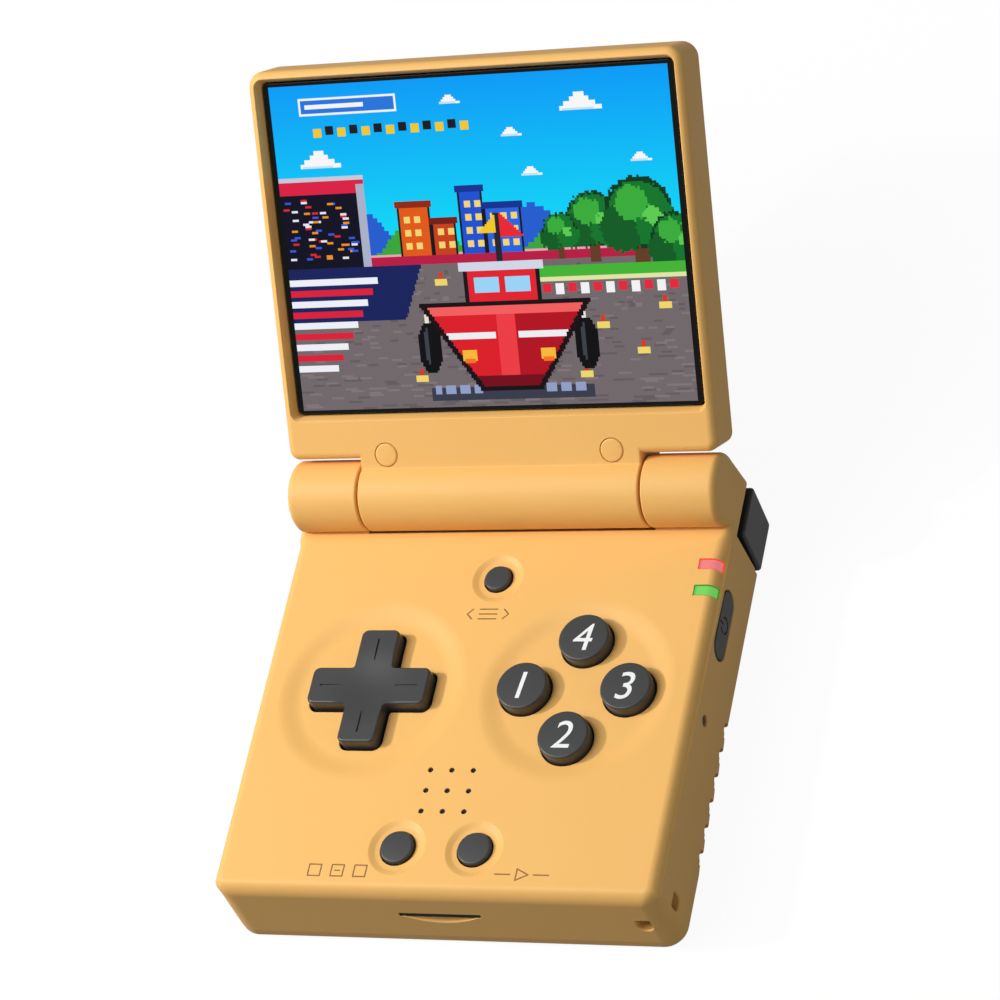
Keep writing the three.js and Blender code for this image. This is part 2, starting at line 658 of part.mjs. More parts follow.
function dPadMat() {
  const arm = (dPad.span - dPad.arm) / 2;
  const spots = [[arm, 0], [0, arm], [-arm, 0], [0, -arm]].map(([x, y]) => [dPadX + x, dPadY + y]);
  const post = rod('z', mat.postRadius, boardTop, domeTop, [dPadX, dPadY]);
  return keyMat(spots, mat.domeFoot + mat.margin).add(post);
}

const socket = { width: 12.6, depth: 11.5, skin: 0.4, cardWidth: 11.2, cardHeight: 0.9, cardDepth: 10 };
const socketTop = slotHeight + socket.cardHeight / 2 + socket.skin;

// The mat under the two lower buttons bridges the card socket and stands on the board at its ends.
function startSelectMat() {
  const reach = startSpot.across + mat.domeFoot + mat.margin;
  const low = socketTop + fit.gap;
  const high = low + mat.bridge;
  const outline = roundedBox(startSpot.middle - reach, startSpot.middle + reach, startY - mat.depth / 2,
    startY + mat.depth / 2, mat.cornerRadius);
  const bridge = prism('z', outline, low, high);
  const feet = [-1, 1].map((side) => {
    const span = [reach, reach - mat.foot].map((from) => startSpot.middle + side * from);
    return block(Math.min(...span), Math.max(...span), startY - mat.depth / 2 + mat.cornerRadius,
      startY + mat.depth / 2 - mat.cornerRadius, boardTop, low + mat.bridge / 2);
  });
  const heads = [-1, 1].map((side) => rod('z', smallButton.plungerRadius, low, high + mat.bridge,
    [startSpot.middle + side * startSpot.across, startY]));
  return joined([bridge, ...feet, ...heads]);
}

function cardSocket() {
  const y = front + body.wall + fit.gap;
  const shell = block(slot.across - socket.width / 2, slot.across + socket.width / 2, y, y + socket.depth,
    boardTop, socketTop);
  return shell.subtract(block(slot.across - socket.cardWidth / 2, slot.across + socket.cardWidth / 2,
    y - fit.overrun, y + socket.cardDepth, slotHeight - socket.cardHeight / 2,
    slotHeight + socket.cardHeight / 2));
}

function speakerUnit() {
  const top = faceUnder - fit.gap;
  const low = top - speaker.depth;
  const profile = [[0, low], [speaker.frameRadius, low], [speaker.frameRadius, low + speaker.depth / 2],
    [speaker.radius, low + speaker.depth / 2], [speaker.radius, top], [speaker.frameRadius, top],
    [speaker.coneRadius, top - speaker.depth / 4], [0, top - speaker.depth / 4]];
  return turnedAboutZ(profile, speaker.across, speakerY);
}

// A port's metal shell with its contact tongue, mouth towards the back.
function port(across, outline, mouth) {
  const high = backY - ports.sunk;
  const low = high - ports.depth;
  const shell = prism('y', outline, low, high);
  const hollowed = shell.subtract(prism('y', mouth, low + ports.skin * 2, high + fit.overrun));
  const reach = ports.usbWidth / 2 - ports.tongueMargin * 1.5;
  return hollowed.add(block(across - reach, across + reach, low + ports.skin, high - ports.tongueMargin,
    portHeight - ports.tongueThickness / 2, portHeight + ports.tongueThickness / 2));
}

function usbPort() {
  const inner = [ports.usbWidth - 2 * ports.skin, ports.usbHeight - 2 * ports.skin];
  return port(usbX, stadium(usbX, portHeight, ports.usbWidth, ports.usbHeight),
    stadium(usbX, portHeight, ...inner));
}

function hdmiPort() {
  return port(hdmiX, hdmiOutline(0), hdmiOutline(-ports.skin));
}

function audioJack() {
  const y = front + audio.fromFront;
  const outer = -halfWidth + audio.sunk;
  const inner = -halfWidth + body.wall + fit.gap;
  const housing = block(inner, inner + audio.bodyDepth, y - audio.bodyWidth / 2, y + audio.bodyWidth / 2,
    audioHeight - audio.bodyHeight / 2, audioHeight + audio.bodyHeight / 2);
  const collar = rod('x', audio.collarRadius, outer, inner + fit.gap, [y, audioHeight]);
  return housing.add(collar).subtract(rod('x', audio.bore, outer - fit.overrun, outer + audio.boreDepth,
    [y, audioHeight]));
}

// A side-pressed switch on the board: a small housing with a round key pointing at its button.
const sideSwitch = { depth: 2.4, width: 4.6, height: 2, keyRadius: 0.8, key: 0.7 };

function switchOnBoard(side, y, keyEnd) {
  const face = keyEnd - sideSwitch.key;
  const span = [side * (face - sideSwitch.depth), side * face].sort((a, b) => a - b);
  const keySpan = [side * (face - fit.gap), side * keyEnd].sort((a, b) => a - b);
  const housing = block(...span, y - sideSwitch.width / 2, y + sideSwitch.width / 2, boardTop,
    boardTop + sideSwitch.height);
  return housing.add(rod('x', sideSwitch.keyRadius, ...keySpan, [y, boardTop + sideSwitch.height / 2]));
}

function flangeInside(control) {
  return halfWidth - body.wall - fit.gap - control.flange;
}

function volumeSwitch() {
  const y = rear - volume.fromRear;
  const keyEnd = flangeInside(volume) - volume.travel - fit.gap;
  const apart = volume.length / 2 - sideSwitch.width / 2;
  const ends = [-1, 1].map((way) => switchOnBoard(-1, y + way * apart, keyEnd));
  const face = keyEnd - sideSwitch.key;
  return joined(ends).add(block(-face + fit.gap, -face + sideSwitch.depth, y - apart, y + apart, boardTop,
    boardTop + sideSwitch.height / 2));
}

const tact = { depth: 2.6, widthShare: 0.37, height: 3.4, keyRadius: 1, key: 0.9, belowTop: 3.6 };
const tactHeight = shoulderTop - tact.belowTop;

function shoulderSwitch(x, buttonLength) {
  const half = buttonLength * tact.widthShare / 2;
  const base = block(x - half, x + half, rear, rear + tact.depth,
    tactHeight - tact.height / 2, tactHeight + tact.height / 2);
  return base.add(rod('y', tact.keyRadius, rear + tact.depth - fit.gap, rear + tact.depth + tact.key,
    [x, tactHeight]));
}

function shoulderPin(side) {
  return sideRod(side, shoulder.pinRadius, tongueHalf - shoulder.pinSeat, halfWidth - shoulder.skin,
    [pinY, shoulder.pinHeight]);
}

function rearScrew(x, y) {
  const neck = screws.sunk + screws.headHeight;
  const profile = [[0, screws.sunk], [screws.headRadius, screws.sunk], [screws.headRadius, neck],
    [screws.shankRadius, neck], [screws.shankRadius, screwEnd], [0, screwEnd]];
  return turnedAboutZ(profile, x, y);
}

const cartridge = { end: 0.4, radiusGap: 0.3, cupDepth: 8.4, cupGap: 0.3 };

// The click hinge in the left knuckle and the plain bush in the right one, both cups for the lid's shafts.
function hingeCup(side) {
  const near = barrelHalf + hinge.runGap + cartridge.end;
  const far = barrelHalf + hinge.boreDepth - cartridge.end;
  const sleeve = sideRod(side, hinge.boreRadius - cartridge.radiusGap, near, far, [hingeY, hingeZ]);
  return sleeve.subtract(sideRod(side, hinge.shaftRadius + cartridge.cupGap, near - fit.overrun,
    near + cartridge.cupDepth, [hingeY, hingeZ]));
}

// Keys and buttons

function roundKey(spec, x, y) {
  const top = body.faceHeight + spec.proud;
  const flangeTop = faceUnder - fit.gap;
  const flangeLow = flangeTop - spec.flange;
  const low = flangeLow - spec.plunger;
  const profile = [[0, low], [spec.plungerRadius, low], [spec.plungerRadius, flangeLow],
    [spec.flangeRadius, flangeLow], [spec.flangeRadius, flangeTop], [spec.radius, flangeTop]];
  const steps = smooth.bevel;
  for (let i = 0; i <= steps; i += 1) {
    const turn = (i / steps) * Math.PI / 2;
    profile.push([spec.radius - spec.edge * (1 - Math.cos(turn)),
      top - spec.crown - spec.edge * (1 - Math.sin(turn))]);
  }
  profile.push([0, top]);
  return turnedAboutZ(profile, x, y);
}

function dPadCross() {
  const low = discTop - fit.gap;
  const top = body.faceHeight + dPad.proud;
  const outline = crossOutline(dPadX, dPadY, dPad.span, dPad.arm, dPad.cornerRadius);
  const cross = prism('z', outline, discTop + dPad.rockGap, top, dPad.rounding);
  const ball = solid(new THREE.SphereGeometry(dPad.span, sidesFor(dPad.span), sidesFor(dPad.span))
    .translate(dPadX, dPadY, top + dPad.span - dPad.dimple));
  const peg = rod('z', dPad.ballRadius, low, discTop + dPad.rockGap + fit.gap, [dPadX, dPadY]);
  return cross.subtract(ball).add(peg);
}

// The disc under the cross keeps it in the housing and rocks on the mat's middle post.
function dPadDisc() {
  const low = discTop - dPad.discThickness;
  const foot = domeTop + fit.gap;
  const seat = discTop - fit.gap * 2;
  const profile = [[0, foot], [dPad.ballRadius / 2, foot], [dPad.ballRadius, low - fit.gap],
    [dPad.ballRadius + fit.gap, low], [dPad.discRadius, low], [dPad.discRadius, discTop],
    [dPad.ballRadius + fit.gap, discTop], [dPad.ballRadius + fit.gap, seat], [0, seat]];
  return turnedAboutZ(profile, dPadX, dPadY);
}

// A key in the right or left side wall: a cap in the wall and a wider flange behind it.
function sideKey(control, side) {
  const y = rear - control.fromRear;
  const cap = stadium(y, heightOf(control), control.length, control.width);
  const flange = stadium(y, heightOf(control), control.length + control.flangeOver * 2,
    control.width + control.flangeOver);
  const face = halfWidth + control.proud;
  const inner = flangeInside(control);
  const capSpan = [side * inner, side * face].sort((a, b) => a - b);
  const flangeSpan = [side * inner, side * (inner + control.flange)].sort((a, b) => a - b);
  return prism('x', cap, ...capSpan, control.edge).add(prism('x', flange, ...flangeSpan));
}

function resetPin() {
  const spot = [rear - reset.fromRear, heightOf(reset)];
  const inner = flangeInside(reset);
  const pin = rod('x', reset.pinRadius, inner, halfWidth - reset.sunk, spot);
  return pin.add(rod('x', reset.flangeRadius, inner, inner + reset.flange, spot));
}

// A shoulder button: a hollow cap, open towards the switch, that turns on the pin near its foot.
function shoulderButton(side, from, to) {
  const low = rear + shoulder.frontGap;
  const high = backY - shoulder.backStep;
  const reach = [side * from, side * to].sort((a, b) => a - b);
  const outline = roundedBox(low, high, shoulder.bottom, shoulderTop, shoulder.cornerRadius);
  const cap = prism('x', outline, ...reach, shoulder.rounding);
  const inner = block(reach[0] + shoulder.skin, reach[1] - shoulder.skin, low - fit.overrun,
    high - shoulder.skin, shoulder.bottom + shoulder.skin, shoulderTop - shoulder.skin);
  const middle = (from + to) / 2 * side;
  const key = block(middle - shoulder.rib, middle + shoulder.rib,
    rear + tact.depth + tact.key + shoulder.rib,
    high - shoulder.skin + fit.gap, tactHeight - tact.keyRadius, tactHeight + tact.keyRadius);
  const bore = shoulderPinBore(side, from - fit.overrun);
  return cap.subtract(inner).add(key).subtract(bore);
}

// Lid. Its own frame has the hinge axis as x, y from the axis to the lid's far edge and z out of the
// screen.

const rim = hinge.rise - lid.closedGap;
const lidBack = -hinge.radius;
const lidTop = body.depth + hinge.setback - lid.frontStep;
const lidHalf = halfWidth - lid.sideStep;
const slabFoot = hinge.radius + lid.slabGap;
const screenTop = lidTop - screen.topBorder;
const screenFoot = slabFoot + screen.footBorder;
const screenMiddle = (screenTop + screenFoot) / 2;
const roomWall = screen.sideBorder - screen.trayMargin - screen.trayGap;
const lensFace = rim - screen.recess;
const lensBack = lensFace - screen.lensThickness;
const ledgeTop = lensBack - fit.gap;
const ledgeLow = ledgeTop - lid.ledge;
const coverInner = lidBack + lid.coverThickness;

function screenRect(marginX, marginY, radius, steps) {
  const halfX = lidHalf - screen.sideBorder + marginX;
  const halfY = (screenTop - screenFoot) / 2 + marginY;
  return roundedBox(-halfX, halfX, screenMiddle - halfY, screenMiddle + halfY, radius, steps);
}

// The barrel and the web that blends it into the lid, seen from the right.
function barrelProfile() {
  const rise = rim + lid.blendRadius;
  const run = Math.sqrt((hinge.radius + lid.blendRadius) ** 2 - rise ** 2);
  const meeting = Math.atan2(rise, run);
  const top = slabFoot + lid.blendReach;
  return outlineOf([
    [top, lidBack],
    [top, rim],
    ...arc(run, rise, lid.blendRadius, -Math.PI / 2, meeting - Math.PI),
    ...arc(0, 0, hinge.radius, meeting, 1.5 * Math.PI).slice(1),
  ]);
}

// The lid's room behind the screen, with a narrower tongue between the knuckles. The back cover closes it.
function lidRoom(inset, radius) {
  const side = lidHalf - roomWall - inset;
  const top = lidTop - roomWall - inset;
  const foot = slabFoot + lid.lowWall + inset;
  const tongueSide = barrelHalf - lid.tongueInset - inset;
  const tongueFoot = foot - lid.tongueDrop;
  return rounded([
    [-tongueSide, tongueFoot], [tongueSide, tongueFoot], [tongueSide, foot], [side, foot], [side, top],
    [-side, top], [-side, foot], [-tongueSide, foot],
  ], radius);
}

const plug = { fromSide: 20.5, up: 8.2, radius: 2.15, gap: 0.3, depth: 1.1, crown: 0.15, edge: 0.3,
  crownShare: 0.8 };
const lidScrew = { headRadius: 1.8, head: 0.9, headGap: 0.3, shankRadius: 0.9, length: 4.4, boss: 2.5 };
const plugX = halfWidth - plug.fromSide;
const plugFloor = rim - plug.depth - fit.gap;
const screwSeat = plugFloor - lidScrew.head - fit.gap;

function lidFrame() {
  const slabOutline = roundedBox(-lidHalf, lidHalf, 0, lidTop, lid.cornerRadius);
  const slab = prism('z', slabOutline, lidBack, rim, lid.edgeRadius);
  const kept = block(-body.width, body.width, slabFoot, lidTop + fit.overrun, lidBack, rim);
  const barrel = prism('x', barrelProfile(), -barrelHalf, barrelHalf);
  let frame = slab.intersect(kept).add(barrel);
  frame = frame.subtract(prism('z', lidRoom(0, body.cavityRadius), lidBack - fit.overrun, ledgeLow));
  frame = frame.subtract(solid(taper(
    screenRect(screen.border + fit.gap, screen.lowBorder + fit.gap, screen.lensRadius, smooth.bevel),
    screenRect(screen.border + fit.gap + screen.slope, screen.lowBorder + fit.gap + screen.slope,
      screen.lensRadius + screen.slope, smooth.bevel),
    lensFace, rim + fit.gap)));
  frame = frame.subtract(prism('z', screenRect(screen.border + fit.gap, screen.lowBorder + fit.gap,
    screen.lensRadius), ledgeTop, lensFace + fit.gap / 2));
  frame = frame.subtract(prism('z', screenRect(screen.panelMargin + fit.gap, screen.panelMargin + fit.gap,
    screen.lensRadius / 2), ledgeLow - fit.overrun, ledgeTop + fit.overrun));
  [-1, 1].forEach((side) => {
    const spot = [side * plugX, plug.up];
    frame = frame.subtract(rod('z', plug.radius + plug.gap, plugFloor, rim + fit.overrun * 2, spot));
    frame = frame.subtract(rod('z', lidScrew.headRadius + lidScrew.headGap, screwSeat,
      plugFloor + fit.overrun, spot));
    frame = frame.subtract(rod('z', lidScrew.shankRadius + fit.gap, ledgeLow - fit.overrun,
      screwSeat + fit.overrun, spot));
    frame = frame.subtract(sideRod(side, hinge.shaftRadius + fit.gap, barrelHalf - hinge.shaftGrip,
      barrelHalf + fit.overrun, [0, 0]));
  });
  return frame.subtract(ribbonRoom());
}

// A shaft that grips the barrel and turns in the cup in the knuckle.
function hingeShaft(side) {
  return sideRod(side, hinge.shaftRadius, barrelHalf - hinge.shaftGrip + fit.gap,
    barrelHalf + hinge.shaftReach, [0, 0]);
}

const ribbon = { width: 18, thickness: 0.3, roomWidth: 20, roomDepth: 3, end: 1.6, clear: 0.6 };

// A slot from the lid's room down into the barrel for the display's flat cable.
function ribbonRoom() {
  return block(-ribbon.roomWidth / 2, ribbon.roomWidth / 2, -ribbon.end, slabFoot + lid.lowWall,
    -ribbon.roomDepth - ribbon.clear, -ribbon.roomDepth + ribbon.clear * 2);
}

function displayRibbon() {
  const low = -ribbon.roomDepth;
  const top = screenFoot - screen.trayMargin;
  return block(-ribbon.width / 2, ribbon.width / 2, -ribbon.end + ribbon.clear, top - fit.gap, low,
    low + ribbon.thickness);
}

function lidBackCover() {
  let cover = prism('z', lidRoom(lid.coverSeam, body.cavityRadius), lidBack, coverInner);
  [-1, 1].forEach((side) => {
    const spot = [side * plugX, plug.up];
    cover = cover.add(rod('z', lidScrew.boss, coverInner - fit.gap, ledgeLow - fit.gap, spot));
    cover = cover.subtract(rod('z', lidScrew.shankRadius + fit.gap, screwSeat - lidScrew.length - fit.gap,
      ledgeLow, spot));
  });
  return cover.add(joined(coverHooks()));
}

const hook = { width: 6, thickness: 0.9, count: 3, pitch: 24 };

// Snap tongues along the top edge of the back cover.
function coverHooks() {
  const wallFace = lidTop - roomWall - lid.coverSeam;
  const hooks = [];
  for (let i = 0; i < hook.count; i += 1) {
    const x = (i - (hook.count - 1) / 2) * hook.pitch;
    hooks.push(block(x - hook.width / 2, x + hook.width / 2, wallFace - hook.thickness, wallFace,
      coverInner - fit.gap, coverInner + hook.thickness));
  }
  return hooks;
}

function screenLens() {
  return prism('z', screenRect(screen.border, screen.lowBorder, screen.lensRadius), lensBack, lensFace);
}

const panelFace = lensBack - fit.gap / 2;
const panelBack = panelFace - screen.panelThickness;

function displayPanel() {
  return prism('z', screenRect(screen.panelMargin, screen.panelMargin, screen.lensRadius / 4), panelBack,
    panelFace);
}

// A folded sheet tray with a raised lip round the display's back.
function backlightTray() {
  const top = Math.min(ledgeLow, panelBack) - fit.gap;
  const tray = prism('z', screenRect(screen.trayMargin, screen.trayMargin / 3, screen.lensRadius),
    top - screen.trayThickness, top);
  const pressed = prism('z', screenRect(-screen.trayMargin * 3, -screen.trayMargin * 3, screen.lensRadius),
    top - screen.trayThickness - fit.overrun, top - screen.trayThickness / 2);
  return tray.subtract(pressed);
}

function screwPlug(side) {
  const top = rim - plug.crown / 2;
  const low = plugFloor + fit.gap;
  const profile = [[0, low], [plug.radius, low], [plug.radius, top - plug.edge / 2],
    [plug.radius - plug.edge, top], [plug.radius / 2, top + plug.crown * plug.crownShare],
    [0, top + plug.crown]];
  return turnedAboutZ(profile, side * plugX, plug.up);
}

function lidScrewBody(side) {
  const top = plugFloor - fit.gap / 2;
  const neck = screwSeat + fit.gap / 2;
  const end = screwSeat - lidScrew.length;
  const profile = [[0, end], [lidScrew.shankRadius, end], [lidScrew.shankRadius, neck],
    [lidScrew.headRadius, neck], [lidScrew.headRadius, top], [0, top]];
  return turnedAboutZ(profile, side * plugX, plug.up);
}

const magnet = { width: 6, height: 2.4, thickness: 1.4, fromSide: 10.5 };
const magnetX = halfWidth - magnet.fromSide;

function sleepMagnet() {
  const low = slabFoot + lid.lowWall + fit.gap;
  const top = ledgeLow - fit.gap;
  return block(magnetX - magnet.width / 2, magnetX + magnet.width / 2, low, low + magnet.height,
    top - magnet.thickness, top);
}

// Assembly

function baseAssembly() {
  const base = new THREE.Group();
  base.add(named('front_housing', frontHousing(), paint.shell));
  base.add(named('rear_cover', rearCover(), paint.shell));
  base.add(named('main_board', mainBoard(), paint.board));
  base.add(named('battery', batteryPack(), paint.battery));
  base.add(named('speaker', speakerUnit(), paint.black));
  base.add(named('d_pad_mat', dPadMat(), paint.rubber));
  base.add(named('face_button_mat', keyMat(faceSpots.map(([, x, y]) => [x, y]), mat.domeFoot + mat.margin),
    paint.rubber));
  base.add(named('menu_button_mat', keyMat([[menuSpot.across, menuY]], mat.domeFoot + mat.margin),
    paint.rubber));
  base.add(named('start_select_mat', startSelectMat(), paint.rubber));
  base.add(named('card_socket', cardSocket(), paint.steel));
  base.add(named('usb_c_port', usbPort(), paint.steel));
  base.add(named('mini_hdmi_port', hdmiPort(), paint.steel));
  base.add(named('audio_jack', audioJack(), paint.black));
  base.add(named('red_light_guide', lightGuide(led.redFromRear), paint.red));
  base.add(named('green_light_guide', lightGuide(led.greenFromRear), paint.green));
  base.add(named('hinge_cartridge', hingeCup(-1), paint.steel));
  base.add(named('hinge_bush', hingeCup(1), paint.black));
  base.add(...switches(), ...shoulderParts());
  screwSpots.forEach(([name, x, y]) => base.add(named(`rear_screw_${name}`, rearScrew(x, y), paint.steel)));
  return base;
}

function switches() {
  const powerKey = flangeInside(power) - power.travel - fit.gap;
  const resetKey = flangeInside(reset) - reset.travel - fit.gap;
  return [
    named('power_switch', switchOnBoard(1, rear - power.fromRear, powerKey), paint.black),
    named('reset_switch', switchOnBoard(1, rear - reset.fromRear, resetKey), paint.black),
    named('volume_switch', volumeSwitch(), paint.black),
  ];
}

const innerReach = [tongueHalf + shoulder.ribGap, ribMiddle - shoulder.rib / 2 - shoulder.ribGap];
const outerReach = [ribMiddle + shoulder.rib / 2 + shoulder.ribGap, halfWidth + shoulder.proud];

function shoulderParts() {
  const parts = [];
  [['left', -1], ['right', 1]].forEach(([word, side]) => {
    [['inner', innerReach], ['outer', outerReach]].forEach(([place, reach]) => {
      const middle = side * (reach[0] + reach[1]) / 2;
      parts.push(named(`${word}_${place}_shoulder_button`, shoulderButton(side, ...reach), paint.button));
      parts.push(named(`${word}_${place}_shoulder_switch`, shoulderSwitch(middle, reach[1] - reach[0]),
        paint.black));
    });
    parts.push(named(`${word}_shoulder_pin`, shoulderPin(side), paint.steel));
  });
  return parts;
}

function keys() {
  const group = new THREE.Group();
  faceSpots.forEach(([name, x, y]) => group.add(named(name, roundKey(faceButton, x, y), paint.button)));
  smallSpots.forEach(([name, x, y, key]) => group.add(named(name, roundKey(key, x, y), paint.button)));
  group.add(named('d_pad', dPadCross(), paint.button));
  group.add(named('d_pad_disc', dPadDisc(), paint.button));
  group.add(named('power_button', sideKey(power, 1), paint.button));
  group.add(named('volume_rocker', sideKey(volume, -1), paint.button));
  group.add(named('reset_button', resetPin(), paint.black));
  return group;
}

function lidAssembly() {
  const group = new THREE.Group();
  group.add(named('lid_frame', lidFrame(), paint.shell));
  group.add(named('lid_back_cover', lidBackCover(), paint.shell));
  group.add(named('screen_lens', screenLens(), paint.lens));
  group.add(named('display_panel', displayPanel(), paint.display));
  group.add(named('backlight_tray', backlightTray(), paint.steel));
  group.add(named('display_ribbon', displayRibbon(), paint.ribbon));
  group.add(named('sleep_magnet', sleepMagnet(), paint.steel));
  [['left', -1], ['right', 1]].forEach(([word, side]) => {
    group.add(named(`${word}_screw_plug`, screwPlug(side), paint.shell));
    group.add(named(`${word}_lid_screw`, lidScrewBody(side), paint.steel));
    group.add(named(`${word}_hinge_shaft`, hingeShaft(side), paint.steel));
  });
  group.position.set(0, hingeY, hingeZ);
  group.rotation.x = Math.PI - THREE.MathUtils.degToRad(hinge.openDegrees);
  return group;
}

const group = new THREE.Group();
group.add(baseAssembly(), keys(), lidAssembly());

export default group;
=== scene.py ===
import json
import math

import bpy
import numpy as np
from mathutils import Matrix, Vector


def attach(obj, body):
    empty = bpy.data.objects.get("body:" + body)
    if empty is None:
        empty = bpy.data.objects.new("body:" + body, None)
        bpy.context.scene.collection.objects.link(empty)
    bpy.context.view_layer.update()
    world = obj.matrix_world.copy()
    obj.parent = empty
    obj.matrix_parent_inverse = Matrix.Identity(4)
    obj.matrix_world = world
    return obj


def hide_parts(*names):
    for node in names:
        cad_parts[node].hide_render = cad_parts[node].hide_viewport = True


# A clamshell handheld console in warm yellow plastic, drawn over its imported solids.
# Sizes are in millimetres and become metres where a mesh is made.
# +X is the player's right, +Y the hinge and +Z up out of the control face.

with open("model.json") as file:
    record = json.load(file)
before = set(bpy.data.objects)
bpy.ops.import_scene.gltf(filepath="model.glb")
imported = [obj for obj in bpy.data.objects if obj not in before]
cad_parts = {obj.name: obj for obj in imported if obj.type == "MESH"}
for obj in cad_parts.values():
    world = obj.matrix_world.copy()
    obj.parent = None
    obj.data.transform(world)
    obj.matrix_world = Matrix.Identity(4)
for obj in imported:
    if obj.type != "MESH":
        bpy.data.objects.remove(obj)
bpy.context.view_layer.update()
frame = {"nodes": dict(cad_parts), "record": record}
mm = 0.001
over = 1.0  # how far every cutter runs past the wall it opens
sink = 0.3  # how far a joined piece runs into its neighbour
axis = 0.2  # the radius on which turned solids close about their axis
softAngle = math.radians(32)  # edges flatter than this are shaded smooth
print("frame loaded:", len(frame["nodes"]), "solids")

# outlines: rows of a place across and a place up


def arcPoints(across, up, radius, start, end, steps):
    # across + r cos t, up + r sin t, with t in equal steps
    t = np.linspace(start, end, steps + 1)
    return np.column_stack([across + radius * np.cos(t), up + radius * np.sin(t)])


def roundedOutline(corners, radius, steps=10):
    # Each corner gives way to the arc that touches both of its sides.
    corners = np.asarray(corners, float)
    before = np.roll(corners, 1, 0) - corners
    after = np.roll(corners, -1, 0) - corners
    before /= np.linalg.norm(before, axis=1)[:, None]
    after /= np.linalg.norm(after, axis=1)[:, None]
    half = np.arccos((before * after).sum(1)) / 2
    radius = np.broadcast_to(np.asarray(radius, float), half.shape)
    middle = before + after
    middle *= (radius / np.sin(half) / np.linalg.norm(middle, axis=1))[:, None]
    start = before * (radius / np.tan(half))[:, None] - middle
    end = after * (radius / np.tan(half))[:, None] - middle
    first = np.arctan2(start[:, 1], start[:, 0])
    sweep = np.arctan2(start[:, 0] * end[:, 1] - start[:, 1] * end[:, 0], (start * end).sum(1))
    angle = first[:, None] + sweep[:, None] * np.linspace(0, 1, steps + 1)
    arcs = radius[:, None, None] * np.stack([np.cos(angle), np.sin(angle)], -1)
    return ((corners + middle)[:, None, :] + arcs).reshape(-1, 2)


def boxOutline(left, right, low, high, radius, steps=10):
    # a rectangle with round corners
    return roundedOutline([[left, low], [right, low], [right, high], [left, high]], radius, steps)


def stadiumOutline(across, up, length, width, steps=24):
    # two half circles joined by straight sides, long way across
    radius, reach = width / 2, (length - width) / 2
    return np.vstack([arcPoints(across + reach, up, radius, -math.pi / 2, math.pi / 2, steps),
                      arcPoints(across - reach, up, radius, math.pi / 2, 1.5 * math.pi, steps)])


def circleOutline(across, up, radius, steps=64):
    # a whole turn of arcPoints
    return arcPoints(across, up, radius, 0, 2 * math.pi, steps)[:-1]


def offsetOutline(points, distance):
    # Every point moves along the mitre of its two sides, outwards for a positive distance.
    ahead = np.roll(points, -1, 0) - points
    ahead /= np.linalg.norm(ahead, axis=1)[:, None]
    outward = np.column_stack([ahead[:, 1], -ahead[:, 0]])
    behind = np.roll(outward, 1, 0)
    mitre = (outward + behind) / (1 + (outward * behind).sum(1))[:, None]
    return points + mitre * np.reshape(distance, (-1, 1))


def roundedEnds(low, high, lowRadius, highRadius, steps=9):
    # (place, offset) pairs: at each end the offset is r (sin t - 1) while the place runs r (1 - cos t)
    t = np.linspace(0, math.pi / 2, steps + 1)
    start = np.column_stack([low + lowRadius * (1 - np.cos(t)), lowRadius * (np.sin(t) - 1)])
    end = np.column_stack([high - highRadius * (1 - np.cos(t)), highRadius * (np.sin(t) - 1)])[::-1]
    return np.vstack([start, end])


def flaredMouth(low, face, lip, steps=6):
    # (place, offset) pairs of a straight hole whose mouth opens with a quarter round of radius lip
    t = np.linspace(0, math.pi / 2, steps + 1)
    curve = np.column_stack([face - lip + lip * np.sin(t), lip * (1 - np.cos(t))])
    return np.vstack([[low, 0], curve, [face + over, lip]])


# meshes


def placed(name, data):
    # a new object in the scene, at the origin
    made = bpy.data.objects.new(name, data)
    bpy.context.scene.collection.objects.link(made)
    return made


def coordinates(mesh):
    # one row of x, y, z in metres for each vertex
    points = np.empty(len(mesh.vertices) * 3, np.float32)
    mesh.vertices.foreach_get("co", points)
    return points.reshape(-1, 3)


def faceOutwards(mesh):
    # The sum of the corner products is six times the volume; a negative one is inside out.
    mesh.calc_loop_triangles()
    corners = np.empty(len(mesh.loop_triangles) * 3, np.int32)
    mesh.loop_triangles.foreach_get("vertices", corners)
    a, b, c = coordinates(mesh)[corners.reshape(-1, 3).T]
    if (a * np.cross(b, c)).sum() < 0:
        mesh.flip_normals()


def meshFrom(name, points, faces):
    mesh = bpy.data.meshes.new(name)
    mesh.from_pydata(np.asarray(points, float).reshape(-1, 3) * mm, [], faces)
    faceOutwards(mesh)
    return placed(name, mesh)


def ringSolid(name, rings, closedLoop=False):
    # Rings of points joined by quads; the two end rings are capped, or joined when closedLoop.
    m, n, _ = rings.shape
    i, j = np.meshgrid(np.arange(m if closedLoop else m - 1), np.arange(n), indexing="ij")
    up, along = (i + 1) % m, (j + 1) % n
    quads = np.stack([i * n + j, i * n + along, up * n + along, up * n + j], -1).reshape(-1, 4)
    caps = [] if closedLoop else [list(range(n))[::-1], list(range((m - 1) * n, m * n))]
    return meshFrom(name, rings, quads.tolist() + caps)


def alongX(points):
    # across becomes y, up becomes z and the height runs along x
    return points[..., [2, 0, 1]]


def alongY(points):
    # across stays x, up becomes z and the height runs along y
    return points[..., [0, 2, 1]]


def alongZ(points):
    # across and up stay x and y, and the height runs along z
    return points


def pushed(name, outline, stations, place=alongZ):
    # The outline carried along an axis; at each station it is offset by that station's amount.
    rings = np.stack([np.column_stack([offsetOutline(outline, offset), np.full(len(outline), at)])
                      for at, offset in stations])
    return ringSolid(name, place(rings))


